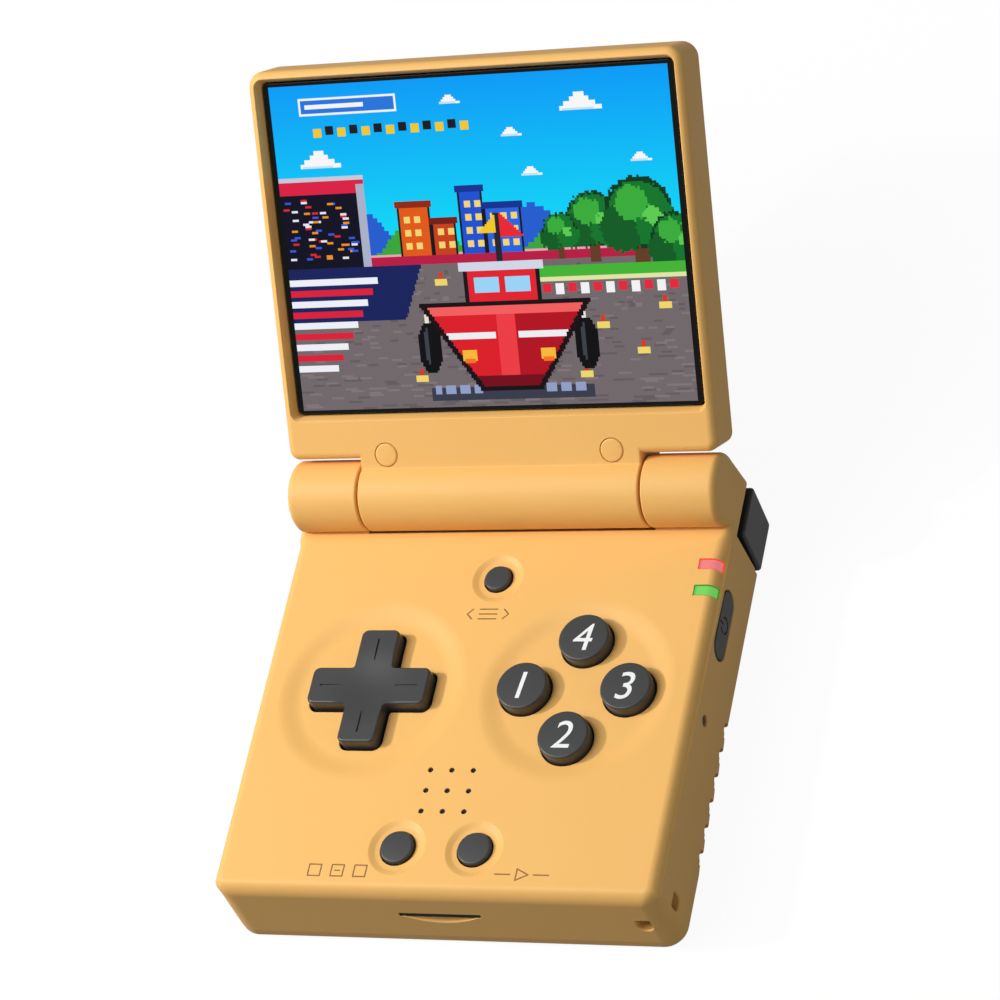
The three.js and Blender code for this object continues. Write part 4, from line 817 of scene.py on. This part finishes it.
def labelLines():
    # painted shade: a brown filling a little way below the face in every engraved line, for the shade in the
    # groove
    floor = base["face"] - labels["depth"] + labels["gap"]
    shadeFill = engraving(labels["width"] - 2 * labels["gap"], floor, base["face"] - labels["shadeFill"])
    shadeFill.name = "label_lines"
    return shadeFill


def speakerHoleShade():
    # painted shade: a small black dish a little below the face in each hole of the grille, standing in for the
    # shade deep in the hole
    hole, face, core = grille["hole"] - grille["gap"], base["face"] - grille["sink"], grille["core"]
    low = face - grille["thickness"]
    profile = [[core, low], [hole, low], [hole, face], [hole / 2, face - grille["rimDrop"]],
               [core, face - grille["hollow"]]]
    dots = [turned("speaker_hole_shade", profile, x, y, sides=24) for x, y in grilleSpots()]
    return combine(dots[0], dots[1:], "UNION")


def cardSlotShade():
    # painted shade: a black block a little behind the front wall, standing in for the shade inside the slot
    reach = cardSlot["opening"] / 2 + cardSlot["shadeGrow"]
    near, far = cardSlot["shadeBlock"]
    return block("card_slot_shade", (cardSlot["x"] - cardSlot["half"], cardSlot["x"] + cardSlot["half"]),
                 (base["front"] + near, base["front"] + far), (cardSlot["z"] - reach, cardSlot["z"] + reach))


finished(buildHousing(), "base", shellPlastic, ["front_housing"])
finished(buildCover(), "base", shellPlastic, ["rear_cover"])
finished(labelLines(), "base", grooveShade)
# black pieces as painted shade in the speaker holes and the card slot
finished(speakerHoleShade(), "base", holeShade)
finished(drafted(cardSlotShade()), "base", holeShade)

# keys


def roundedTop(radius, top, edge, steps=8):
    # the profile of a key's rim: r - e (1 - cos t), top - e (1 - sin t)
    t = np.linspace(0, math.pi / 2, steps + 1)
    return np.column_stack([radius - edge * (1 - np.cos(t)), top - edge * (1 - np.sin(t))])


def keySolid(name, spec, x, y):
    # a turned stem, flange and cap
    stem, flange, radius = spec["stem"], spec["flange"], spec["radius"]
    low, high = spec["flangeLow"], spec["flangeHigh"]
    foot = [[axis, spec["low"]], [stem, spec["low"]], [stem, low], [flange, low], [flange, high],
            [radius, high]]
    profile = np.vstack([foot, roundedTop(radius, spec["top"], spec["edge"]), [[axis, spec["top"]]]])
    return turned(name, profile, x, y, sides=128)


for name, (x, y) in faceSpots.items():
    finished(keySolid(name + "_cap", roundKey, x, y), name, keyPlastic, [name])
for name, (x, y, key) in smallSpots.items():
    finished(keySolid(name + "_cap", key, x, y), name, keyPlastic, [name])


def buildCross():
    # a rounded cross whose middle dips by d (1 + cos pi t) / 2, and one engraved line along each arm
    top, reach, middle = crossPad["top"], crossPad["dipRadius"], np.array([crossPad["x"], crossPad["y"]])
    stations = roundedEnds(crossPad["low"], top, crossPad["footEdge"], crossPad["edge"])
    pad = pushed("cross_pad", crossOutline(), stations)
    t = np.linspace(crossPad["dipCoreShare"], 1, 24)
    depth = crossPad["dip"] * (1 + np.cos(math.pi * t)) / 2
    profile = np.vstack([np.column_stack([reach * t, top - depth]),
                         [reach, top + over], [reach * t[0], top + over]])
    combine(pad, [turned("dip tool", profile, *middle, sides=128)])
    tools = []
    for turn in range(4):
        angle = turn * math.pi / 2
        at = np.array([math.cos(angle), math.sin(angle)]) * crossPad["markAt"] + middle
        size = np.roll([crossPad["mark"], crossPad["markWidth"]], turn) / 2
        outline = boxOutline(at[0] - size[0], at[0] + size[0], at[1] - size[1], at[1] + size[1],
                             crossPad["markCorner"], 4)
        tools.append(pushed("line tool", outline, [(top - crossPad["markDepth"], 0), (top + over, 0)]))
    return combine(pad, tools)


finished(buildCross(), "d_pad", keyPlastic, ["d_pad"])


def sideKeySolid(name, side, key):
    # a stadium carried out of the side wall, its outer edge rounded
    face = base["half"] + key["proud"]
    stations = roundedEnds(base["half"] - sideKeys["depth"], face, sideKeys["footEdge"], key["edge"])
    return pushed(name, sideKeyOutline(key), stations * [side, 1], alongX)


symbol = {"radius": 1.45, "width": 0.3, "bar": (0.5, 2.0), "depth": 0.2, "arc": (125, 415)}


def powerSymbol(face):
    # an open ring with a bar through its gap, cut a little way into the key
    t = np.linspace(*np.radians(symbol["arc"]), 40)
    outer, inner = symbol["radius"] + symbol["width"] / 2, symbol["radius"] - symbol["width"] / 2
    ring = np.vstack([np.column_stack([outer * np.cos(t), outer * np.sin(t)]),
                      np.column_stack([inner * np.cos(t), inner * np.sin(t)])[::-1]])
    bar = boxOutline(-symbol["width"] / 2, symbol["width"] / 2, *symbol["bar"], symbol["width"] / 3, 4)
    return [pushed("symbol tool", shape + [sideKeys["y"], sideKeys["z"]],
                   [(face - symbol["depth"], 0), (face + over, 0)], alongX) for shape in (ring, bar)]


def shoulderCap(name, side, place):
    # a leaning rounded section carried across, its two ends rounded
    near, far, low, high = shoulder["front"], shoulder["back"], shoulder["low"], shoulder["high"]
    lean, edge = shoulder["lean"], shoulder["edge"]
    section = roundedOutline([[near, low], [far, low], [far + lean, high], [near + lean, high]],
                             shoulder["corner"])
    stations = roundedEnds(*shoulder[place], edge, edge) * [side, 1]
    return pushed(name + "_cap", section, stations, alongX)


power = sideKeySolid("power_key", 1, sideKeys["power"])
cutOneByOne(power, powerSymbol(base["half"]))
finished(drafted(power), "power_button", triggerPlastic, ["power_button"])
rocker = sideKeySolid("volume_key", -1, sideKeys["volume"])
finished(drafted(rocker), "volume_rocker", triggerPlastic, ["volume_rocker"])
for side, word in ((1, "right"), (-1, "left")):
    for place in ("inner", "outer"):
        name = f"{word}_{place}_shoulder_button"
        finished(shoulderCap(name, side, place), name, triggerPlastic, [name])
print("keys made")

# numerals

numerals = {
    "size": 7.7, "shear": 0.13, "lift": 0.01, "thickness": 0.03, "curveSteps": 8,
    "texts": {"right_button": "3", "upper_button": "4", "left_button": "1", "lower_button": "2"},
}


def numeralMesh(name, text, spot, z):
    # the built-in font's outline made a thin mesh, its middle moved to the spot
    curve = bpy.data.curves.new(name, "FONT")
    curve.body, curve.size, curve.shear = text, numerals["size"] * mm, numerals["shear"]
    curve.align_x, curve.align_y = "CENTER", "CENTER"
    curve.extrude = numerals["thickness"] * mm / 2
    curve.resolution_u = numerals["curveSteps"]
    made = placed(name, curve)
    mesh = bpy.data.meshes.new_from_object(made.evaluated_get(bpy.context.evaluated_depsgraph_get()))
    bpy.data.objects.remove(made)
    points = coordinates(mesh)
    middle = (points[:, :2].max(0) + points[:, :2].min(0)) / 2
    points[:, :2] += np.array(spot) * mm - middle
    points[:, 2] += z * mm
    mesh.vertices.foreach_set("co", points.ravel())
    return placed(name, mesh)


for name, text in numerals["texts"].items():
    mark = numeralMesh(name + "_numeral", text, faceSpots[name], roundKey["top"] + numerals["lift"])
    finished(mark, name, whiteInk)

# lid

lid = {
    "half": 41.8, "top": 78.95, "foot": 7.4, "rim": 3.4, "back": -6.6, "edge": 1.5, "corner": 3.0,
    "footCorner": 2.0, "blend": 0.35, "reach": 2.0, "barrelEdge": 0.35,
}
lidHollow = {
    "half": 39.7, "top": 76.85, "foot": 9.4, "tongue": 25.5, "tongueFoot": 5.0, "corner": 1.5, "roof": -0.6,
}
lidPanel = {"gap": 0.15, "sink": 0.02, "thickness": 1.5, "edge": 0.2, "innerEdge": 0.1}
screen = {
    "half": 38.45, "low": 16.4, "high": 75.9, "lens": 1.5, "slope": 0.6, "sideBorder": 1.0, "endBorder": 0.7,
    "gap": 0.3, "corner": 1.0, "lip": 0.25, "lensThickness": 0.8, "lensEdge": 0.12, "footEdge": 0.05,
}
plugs = {
    "x": 22.0, "y": 8.2, "radius": 2.15, "gap": 0.12, "depth": 1.1, "below": 0.3, "lip": 0.1, "crown": 0.15,
    "foot": 1.2, "edge": 0.35, "rise": 0.3, "shy": 0.05, "crownDrop": 0.01,
}


def lidPlace(points):
    # The lid's own x, height up the lid and depth out of the screen, tilted back about the hinge line:
    # (x, hinge + up cos a - out sin a, hinge + up sin a + out cos a)
    x, up, out = points[..., 0], points[..., 1], points[..., 2]
    sin, cos = math.sin(math.radians(hinge["tilt"])), math.cos(math.radians(hinge["tilt"]))
    return np.stack([x, hinge["y"] + up * cos - out * sin, hinge["z"] + up * sin + out * cos], -1)


def lidAlongX(points):
    # an outline in the lid's height and depth, carried along x
    return lidPlace(alongX(points))


def screenOutline(side, end, steps=10):
    # the picture's rectangle grown by side and end, with round corners
    return boxOutline(-screen["half"] - side, screen["half"] + side, screen["low"] - end, screen["high"] + end,
                      screen["corner"], steps)


def barrelProfile():
    # the barrel's circle, a small hollow fillet, and the web that runs up into the slab
    rise = lid["rim"] + lid["blend"]
    run = math.sqrt((hinge["radius"] + lid["blend"]) ** 2 - rise ** 2)
    meeting = math.atan2(rise, run)
    top = lid["foot"] + lid["reach"]
    return np.vstack([
        [[top, lid["back"]], [top, lid["rim"]]],
        arcPoints(run, rise, lid["blend"], -math.pi / 2, meeting - math.pi, 12),
        arcPoints(0, 0, hinge["radius"], meeting, 1.5 * math.pi, 72)[1:],
    ])


def lidRoom():
    # a rectangle with a tongue down to the barrel
    side, top, foot = lidHollow["half"], lidHollow["top"], lidHollow["foot"]
    tongue, tip = lidHollow["tongue"], lidHollow["tongueFoot"]
    return roundedOutline([[-tongue, tip], [tongue, tip], [tongue, foot], [side, foot], [side, top],
                           [-side, top], [-side, foot], [-tongue, foot]], lidHollow["corner"])


def screenStations():
    # a wall that slopes outwards from the lens to a quarter round lip at the rim
    t = np.linspace(0, 1, 9)
    rim, lip, slope = lid["rim"], screen["lip"], screen["slope"]
    wall = np.column_stack([screen["lens"] + (rim - screen["lens"]) * t, slope * t])
    turn = t * math.pi / 2
    curve = np.column_stack([rim - lip + lip * np.sin(turn), slope + lip * (1 - np.cos(turn))])
    return np.vstack([[[-over, 0]], wall[:-2], curve, [[rim + over, slope + lip]]])


def buildLid():
    # a slab with rounded edges, the barrel joined to its foot, then its rear hollow, screen well and plug holes
    corners = [[-lid["half"], lid["foot"]], [lid["half"], lid["foot"]], [lid["half"], lid["top"]],
               [-lid["half"], lid["top"]]]
    radius = np.array([lid["footCorner"]] * 2 + [lid["corner"]] * 2)
    stations = roundedEnds(lid["back"], lid["rim"], lid["edge"], lid["edge"], 10)
    shell = pushed("lid_shell", roundedOutline(corners, radius, 12), stations, lidPlace)
    edge = lid["barrelEdge"]
    ends = roundedEnds(-hinge["barrel"], hinge["barrel"], edge, edge, 5)
    combine(shell, [pushed("barrel", barrelProfile(), ends, lidAlongX)], "UNION")
    combine(shell, [pushed("lid room", lidRoom(), [(lid["back"] - over, 0), (lidHollow["roof"], 0)], lidPlace)])
    well = screenOutline(screen["sideBorder"] + screen["gap"], screen["endBorder"] + screen["gap"])
    combine(shell, [pushed("screen tool", well, screenStations(), lidPlace)])
    mouth = flaredMouth(lid["rim"] - plugs["depth"] - plugs["below"], lid["rim"], plugs["lip"])
    for way in (1, -1):
        spot = circleOutline(way * plugs["x"], plugs["y"], plugs["radius"] + plugs["gap"], 80)
        combine(shell, [pushed("plug tool", spot, mouth, lidPlace)])
    print("lid shell made")
    return shell


def backPanel():
    # the hollow's outline with a gap all round, rounded at the outer edge
    low = lid["back"] + lidPanel["sink"]
    stations = roundedEnds(low, lid["back"] + lidPanel["thickness"], lidPanel["edge"], lidPanel["innerEdge"])
    return pushed("lid_back_panel", offsetOutline(lidRoom(), -lidPanel["gap"]), stations, lidPlace)


def plugCap(word, side):
    # a short cylinder with a quarter round edge and a slight crown
    t = np.linspace(0, math.pi / 2, 9)
    radius, foot, top = plugs["radius"], lid["rim"] - plugs["foot"], lid["rim"] + plugs["crown"]
    low, rise = top - plugs["rise"] - plugs["shy"], plugs["rise"]
    curve = np.column_stack([radius - plugs["edge"] * (1 - np.cos(t)), low + rise * np.sin(t)])
    profile = np.vstack([[[axis, foot], [radius, foot]], curve,
                         [[radius / 2, top - plugs["crownDrop"]], [axis, top]]])
    return turned(f"{word}_plug_cap", profile, side * plugs["x"], plugs["y"], lidPlace)


def lensBorder():
    # the black sheet round and behind the picture
    stations = roundedEnds(screen["lens"] - screen["lensThickness"], screen["lens"], screen["footEdge"],
                           screen["lensEdge"])
    return pushed("lens_border", screenOutline(screen["sideBorder"], screen["endBorder"]), stations, lidPlace)


finished(buildLid(), "lid", shellPlastic, ["lid_frame"])
finished(backPanel(), "lid", shellPlastic, ["lid_back_cover"])
for side, word in ((1, "right"), (-1, "left")):
    finished(plugCap(word, side), "lid", shellPlastic, [f"{word}_screw_plug"])
finished(lensBorder(), "lid", blackGloss, ["screen_lens"])

# display picture: a harbour in square cells, counted from the left and from the bottom

picture = {"columns": 192, "rows": 150, "seed": 11, "lift": 0.02, "skyFrom": 76, "shore": 66}
paint = {
    "skyLow": (12, 226, 255), "skyHigh": (0, 160, 255), "cloud": (255, 255, 255), "cloudShade": (205, 235, 255),
    "trunk": (104, 62, 38), "leafEdge": (10, 60, 30), "leaf": (18, 122, 44), "leafDark": (14, 96, 38),
    "leafLight": (60, 178, 62), "leafBright": (98, 210, 84), "outline": (20, 20, 30), "pane": (252, 220, 120),
    "ridge": (38, 96, 214), "hill": (58, 172, 60), "mole": (190, 28, 70), "moleTop": (240, 170, 190),
    "orange": (232, 92, 20), "orangeRoof": (150, 40, 20), "rust": (206, 66, 24), "rustRoof": (120, 30, 20),
    "blue": (30, 84, 214), "paleBlue": (40, 104, 230), "blueRoof": (20, 50, 150), "water": (118, 108, 112),
    "pier": (24, 34, 96), "stripeRed": (226, 32, 60), "stripeWhite": (246, 248, 255), "shed": (12, 12, 34),
    "shedBand": (226, 32, 70), "shedRoof": (206, 208, 224), "shedPost": (176, 182, 206), "bank": (70, 186, 54),
    "bankEdge": (232, 236, 170), "boomRed": (236, 40, 60), "boomWhite": (250, 250, 252),
    "buoy": (246, 222, 110),
    "buoyTop": (220, 60, 40), "flagDark": (26, 24, 30), "yellow": (250, 206, 40), "gaugeRim": (250, 252, 255),
    "gauge": (40, 120, 226), "wake": (58, 62, 78), "foam": (150, 164, 204), "rope": (240, 236, 220),
    "fender": (12, 12, 16), "fenderShine": (64, 66, 76), "hullEdge": (24, 12, 18), "hull": (226, 30, 42),
    "hullShade": (184, 16, 34), "stem": (244, 62, 70), "gunwale": (252, 98, 98), "band": (244, 246, 252),
    "keel": (120, 8, 26), "lamp": (255, 190, 60), "lampLow": (255, 120, 24), "cabinEdge": (22, 18, 26),
    "cabin": (232, 36, 48), "glass": (160, 218, 255), "cabinRoof": (214, 222, 240), "mast": (40, 34, 46),
    "pennant": (240, 40, 52),
}
ripples = {"count": 420, "high": 64, "colours": [[104, 95, 100], [132, 121, 124]]}
crates = {"count": 60, "across": (1, 35), "up": (70, 98),
          "colours": [[222, 40, 50], [60, 90, 220], [240, 240, 250], [240, 150, 40]]}
clouds = [(150, 132, 2), (116, 122, 1), (88, 138, 1), (124, 104, 1), (22, 112, 2), (176, 108, 1)]
cloudSteps = ((5.0, 0), (3.6, 1), (2.2, 2), (1.2, 3))  # half width and height of each step, at size 1
houses = [
    (58, 70, 72, 92, "orange", "orangeRoof"), (74, 70, 84, 84, "rust", "rustRoof"),
    (88, 70, 98, 98, "blue", "blueRoof"), (100, 70, 116, 90, "paleBlue", "blueRoof"),
]
trees = [(150, 64, 20), (172, 60, 26), (134, 66, 13), (188, 56, 18)]
crowns = [  # place and radius of each tuft, as shares of the tree's size
    (0, 0.95, 0.62, "leafEdge"), (0, 0.95, 0.55, "leaf"), (-0.3, 0.7, 0.42, "leafDark"),
    (0.32, 0.72, 0.4, "leaf"), (-0.12, 1.12, 0.3, "leafLight"), (0.25, 0.9, 0.16, "leafBright"),
]
buoys = [(74, 56), (88, 46), (150, 34), (168, 22), (140, 12), (60, 12), (180, 42)]
boat = {"x": 104, "fenders": (66, 142), "lamps": (82, 120)}


class Sheet:
    # the grid of cells and the ways to paint it
    def __init__(self):
        wide, high = picture["columns"], picture["rows"]
        self.canvas = np.zeros((high, wide, 3))
        self.rows, self.columns = np.mgrid[0:high, 0:wide]
        self.random = np.random.default_rng(picture["seed"])

    def fill(self, mask, colour):
        self.canvas[mask] = paint[colour]

    def rect(self, left, low, right, top, colour):
        colour = paint[colour] if isinstance(colour, str) else colour
        self.canvas[max(low, 0):max(top, 0), max(left, 0):max(right, 0)] = colour

    def rects(self, rows):
        for row in rows:
            self.rect(*row)

    def streaks(self, count, across, up, length, colours):
        # short level dashes at random places, each in one of the colours
        for _ in range(count):
            x, y = int(self.random.integers(*across)), int(self.random.integers(*up))
            self.rect(x, y, x + length(y), y + 1, tuple(self.random.choice(colours)))


def paintSky(sheet):
    # an even blend upwards, stepped clouds, then two ridges that are sums of two sine waves
    rows, columns, low = sheet.rows, sheet.columns, picture["skyFrom"]
    share = np.clip((rows - low) / (picture["rows"] - low), 0, 1)[..., None]
    sheet.canvas[:] = np.array(paint["skyLow"]) * (1 - share) + np.array(paint["skyHigh"]) * share
    for x, y, size in clouds:
        for width, step in cloudSteps:
            reach = width * size
            sheet.rect(int(x - reach), y + step * size, int(x + reach), y + (step + 1) * size, "cloud")
        sheet.rect(int(x - 4.2 * size), y, int(x + 3.4 * size), y + max(size // 2, 1), "cloudShade")
    ridge = 80 + 9 * np.sin(columns / 17.0) + 5 * np.sin(columns / 6.1 + 1)
    sheet.fill((rows > 60) & (rows < np.round(ridge / 2) * 2), "ridge")
    hill = 75 + 5 * np.sin(columns / 11.0 + 2) + 3 * np.sin(columns / 4.0)
    sheet.fill((rows > 56) & (rows < np.round(hill / 2) * 2), "hill")


def paintTown(sheet):
    # houses behind a low mole, each a framed wall with a roof and rows of square panes
    wide, shore = picture["columns"], picture["shore"]
    sheet.rects([(0, shore, wide, shore + 4, "mole"), (0, shore + 4, wide, shore + 5, "moleTop")])
    for left, low, right, top, wall, roof in houses:
        sheet.rects([(left - 1, low, right + 1, top + 1, "outline"), (left, low, right, top, wall),
                     (left - 2, top, right + 2, top + 3, roof)])
        for x in range(left + 2, right - 2, 5):
            for y in range(low + 3, top - 3, 6):
                sheet.rect(x, y, x + 3, y + 3, "pane")


def paintPier(sheet):
    # rippled water, a pier with stripes that shorten towards us, and a shed full of coloured crates
    rows, columns, shore = sheet.rows, sheet.columns, picture["shore"]
    wide, high = picture["columns"], ripples["high"]
    sheet.rect(0, 0, wide, shore, "water")
    sheet.streaks(ripples["count"], (0, wide), (0, high), lambda y: int(2 + (high - y) / 12),
                  ripples["colours"])
    sheet.fill((rows < shore) & (rows > 40) & (columns < shore - (shore - rows) * 0.4), "pier")
    for step in range(9):
        low = 62 - step * 5
        sheet.rect(0, low - 4, 44 - step * 3, low - 1, "stripeRed" if step % 2 else "stripeWhite")
    sheet.rects([(0, shore, 40, 104, "shed"), (0, 100, 42, 106, "shedBand"), (0, 106, 42, 108, "shedRoof"),
                 (38, shore, 42, 104, "shedPost")])
    sheet.streaks(crates["count"], crates["across"], crates["up"], lambda y: 3, crates["colours"])


def paintBank(sheet):
    # trees made of ragged discs, a green bank, a floating boom along it, and buoys
    rows, columns, wide = sheet.rows, sheet.columns, picture["columns"]
    for x, y, size in trees:
        sheet.rect(x - size // 8, y, x + size // 8 + 1, y + size, "trunk")
        for dx, dy, radius, colour in crowns:
            ragged = radius * size + sheet.random.integers(-1, 2, rows.shape) * 0.5
            sheet.fill((columns - x - dx * size) ** 2 + (rows - y - dy * size) ** 2 < ragged ** 2, colour)
    sheet.rects([(120, 58, wide, 63, "bank"), (120, 56, wide, 58, "bankEdge")])
    for step in range(12):
        left = 118 + step * 6
        sheet.rect(left, 50 + step % 2, left + 4, 55, "boomRed" if step % 2 else "boomWhite")
    for x, y in buoys:
        sheet.rects([(x - 2, y, x + 4, y + 3, "buoy"), (x, y + 3, x + 2, y + 6, "buoyTop")])


def paintGauge(sheet):
    # a line of bunting under a plain bar in a frame
    for step in range(13):
        left, low = 20 + step * 6, 126 + step % 2
        sheet.rect(left, low, left + 4, low + 4, "flagDark" if step % 2 else "yellow")
    sheet.rects([(14, 136, 62, 144, "gaugeRim"), (15, 137, 61, 143, "gauge"), (17, 139, 46, 141, "gaugeRim")])


def paintBoat(sheet):
    # a red boat seen from the bow: its half width grows evenly with height
    rows, columns, x = sheet.rows, sheet.columns, boat["x"]
    away = np.abs(columns - x)
    half = 13 + (rows - 8) * 0.66
    sheet.fill((rows > 2) & (rows < 9) & (away < 40), "wake")
    sheet.fill((rows > 5) & (rows < 10) & (away > 14) & (away < 38) & (columns % 7 > 1), "foam")
    for middle in boat["fenders"]:
        across = columns - middle
        sheet.rect(middle - 1, 36, middle + 1, 46, "rope")
        sheet.fill((across / 6) ** 2 + ((rows - 27) / 12) ** 2 < 1, "fender")
        sheet.fill(((across / 3) ** 2 + ((rows - 28) / 9) ** 2 < 1) & (across < 0), "fenderShine")
    sheet.fill((rows > 6) & (rows < 48) & (away < half + 3), "hullEdge")
    hull = (rows > 8) & (rows < 46) & (away < half)
    for mask, colour in ((True, "hull"), (columns > x, "hullShade"), (away < 5, "stem"), (rows > 41, "gunwale"),
                         ((rows > 30) & (rows < 34) & (away > 5), "band"), (rows < 14, "keel")):
        sheet.fill(hull & mask, colour)
    for left in boat["lamps"]:
        sheet.rects([(left, 21, left + 7, 26, "lamp"), (left + 1, 20, left + 6, 22, "lampLow")])
    sheet.rects([(x - 18, 47, x + 19, 64, "cabinEdge"), (x - 16, 48, x + 17, 62, "cabin"),
                 (x - 13, 52, x - 1, 59, "glass"), (x + 2, 52, x + 14, 59, "glass"),
                 (x - 20, 62, x + 21, 66, "cabinRoof"), (x - 1, 66, x + 2, 88, "mast")])
    sheet.fill((rows > 76) & (rows < 88) & (columns > x + 1) & (columns < x + 90 - rows), "pennant")
    sheet.fill((rows > 78) & (rows < 87) & (columns < x) & (columns > x - 88 + rows), "yellow")


def buildPicture():
    # one square face per cell, its colour kept in a corner attribute
    sheet = Sheet()
    for layer in (paintSky, paintTown, paintPier, paintBank, paintGauge, paintBoat):
        layer(sheet)
    columns, rows = picture["columns"], picture["rows"]
    across = np.linspace(-screen["half"], screen["half"], columns + 1)
    up = np.linspace(screen["low"], screen["high"], rows + 1)
    x, y = np.meshgrid(across, up)
    points = lidPlace(np.stack([x, y, np.full(x.shape, screen["lens"] + picture["lift"])], -1))
    i, j = np.meshgrid(np.arange(rows), np.arange(columns), indexing="ij")
    first = i * (columns + 1) + j
    quads = np.stack([first, first + 1, first + columns + 2, first + columns + 1], -1).reshape(-1, 4)
    mesh = bpy.data.meshes.new("display_picture")
    mesh.from_pydata(points.reshape(-1, 3) * mm, [], quads.tolist())
    colours = np.ones((rows * columns, 4, 4))
    colours[..., :3] = np.stack(linear(sheet.canvas.reshape(-1, 3).T), 0).T[:, None, :]
    attribute = mesh.color_attributes.new("pixelColour", "FLOAT_COLOR", "CORNER")
    attribute.data.foreach_set("color", colours.ravel())
    mesh.materials.append(pictureGlow)
    return placed("display_picture", mesh)


panel = buildPicture()
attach(panel, "lid")
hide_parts("display_panel")
print("display picture made")

# light windows

windows = {
    "red": {"pane": (240, 130, 134), "wall": (255, 74, 44), "glow": 0.68},
    "green": {"pane": (124, 220, 98), "wall": (70, 150, 40), "glow": 0.62},
}


def windowWall(word):
    # a band round the edge with a shallow well in it
    y, rim = lights[word], lights["rim"]
    wall = bandSolid(word + "_window_wall", y, lights["width"], -lights["below"], lights["thickness"])
    return combine(wall, [bandSolid("pane tool", y, lights["width"] - 2 * rim, over, lights["sink"], rim)])


def windowPane(word):
    # the band that fills the well, a little below its rim
    inner = lights["width"] - 2 * lights["rim"] - 2 * lights["gap"]
    return bandSolid(word + "_window_pane", lights[word], inner, -lights["sink"] + lights["paneRise"],
                     lights["sink"] + lights["paneThickness"], lights["rim"] + lights["gap"])


for word, spec in windows.items():
    wallTint = tintedLight(word + " window wall", spec["wall"], spec["glow"])
    finished(drafted(windowWall(word)), "base", wallTint, [word + "_light_guide"])
    paneTint = tintedLight(word + " window pane", spec["pane"], spec["glow"])
    finished(drafted(windowPane(word)), "base", paneTint)
print("light windows made")

# solids kept as they are

keptFinishes = {
    "steel": steel, "key_mat": silicone, "circuit_board": boardMask, "battery_wrap": batteryFilm,
    "black_plastic": darkPlastic, "ribbon": ribbonFilm, "button": keyPlastic, "shell": shellPlastic,
    "red_light": darkPlastic, "green_light": darkPlastic, "lens": blackGloss, "display": darkPlastic,
}
slots = {row["node"]: row["material_slot"] for row in frame["record"]["subparts"]}
for name, node in frame["nodes"].items():
    if not node.hide_render:
        node.data.materials.clear()
        node.data.materials.append(keptFinishes[slots[name]])
print("kept solids finished:", sum(not node.hide_render for node in frame["nodes"].values()))

# floor, lights and camera: places in metres

stage = {
    "floor": (255, 255, 255), "floorShade": (105, 105, 105), "floorHalf": 3000, "floorDrop": 0.05,
    "floorRoughness": 0.9, "floorGlow": 0.94, "mirrorGlow": 0.4, "world": 0.17, "shade": (0.93, 1.0, 0.97),
    "aim": (0, 0.02, 0.03),
}
lamps = {
    "key": {"place": (-0.46, -0.05, 0.44), "size": 0.03, "power": 2.05, "colour": (1, 1, 1)},
    "sky": {"place": (-0.62, -0.16, 1.15), "size": 1.1, "power": 11.6, "colour": (1, 1, 1)},
    "fill": {"place": (1.0, -0.13, 0.12), "size": 0.7, "power": 1.8, "colour": stage["shade"]},
}


def buildFloor():
    # white where the camera sees it, darker for the light it sends back, and dimmer in reflections
    half, low = stage["floorHalf"], -stage["floorDrop"]
    floor = meshFrom("floor", [[-half, -half, low], [half, -half, low], [half, half, low], [-half, half, low]],
                     [[0, 1, 2, 3]])
    graph = Graph("floor white", stage["floor"], stage["floorRoughness"])
    graph.put("Specular IOR Level", 0.0)
    seen = graph.node("ShaderNodeLightPath", output="Is Camera Ray")
    mirrored = graph.node("ShaderNodeLightPath", output="Is Glossy Ray")
    glow = graph.node("ShaderNodeEmission", {}, {"Color": (1, 1, 1, 1), "Strength": 1.0})
    graph.put("Base Color", graph.mixColour(seen, (*linear(stage["floorShade"]), 1), (1, 1, 1, 1)))
    share = (seen + mirrored * stage["mirrorGlow"]) * stage["floorGlow"]
    mix = graph.node("ShaderNodeMixShader", {}, {0: share, 2: glow})
    graph.links.new(graph.shader.outputs[0], mix.socket.node.inputs[1])
    graph.links.new(mix.socket, graph.nodes["Material Output"].inputs["Surface"])
    floor.data.materials.append(graph.material)


def buildLights():
    # a dim even surround and three round lamps that all look at the aim
    world = bpy.data.worlds.new("studio")
    bpy.context.scene.world = world
    world.use_nodes = True
    background = world.node_tree.nodes["Background"]
    background.inputs["Color"].default_value = (*stage["shade"], 1)
    background.inputs["Strength"].default_value = stage["world"]
    for name, spec in lamps.items():
        lamp = bpy.data.lights.new(name, "AREA")
        lamp.shape, lamp.size, lamp.energy, lamp.color = "DISK", spec["size"], spec["power"], spec["colour"]
        holder = placed(name, lamp)
        holder.location = spec["place"]
        aim = Vector(stage["aim"]) - holder.location
        holder.rotation_euler = aim.to_track_quat("-Z", "Y").to_euler()


# The place is in millimetres and the turn a rotation vector, both from the match with the photograph.
camera = {
    "place": (279.44, -314.04, 576.46), "turn": (2.53132275, 0.13068807, -0.52201618), "focal": 142.8912,
    "sensor": 36, "near": 0.01, "far": 50,
}


def buildCamera():
    # The rotation's rows are the camera's right, down and forward; Blender's camera looks along its -Z.
    data = bpy.data.cameras.new("camera")
    data.lens, data.sensor_width = camera["focal"], camera["sensor"]
    data.clip_start, data.clip_end = camera["near"], camera["far"]
    holder = placed("camera", data)
    turn = Vector(camera["turn"])
    rows = Matrix.Rotation(turn.length, 3, turn.normalized())
    axes = Matrix((rows[0], -rows[1], -rows[2])).transposed().to_4x4()
    holder.matrix_world = Matrix.Translation(Vector(camera["place"]) * mm) @ axes
    bpy.context.scene.camera = holder


buildFloor()
buildLights()
buildCamera()
bpy.context.scene.view_settings.view_transform = "Standard"
print("stage and camera made")
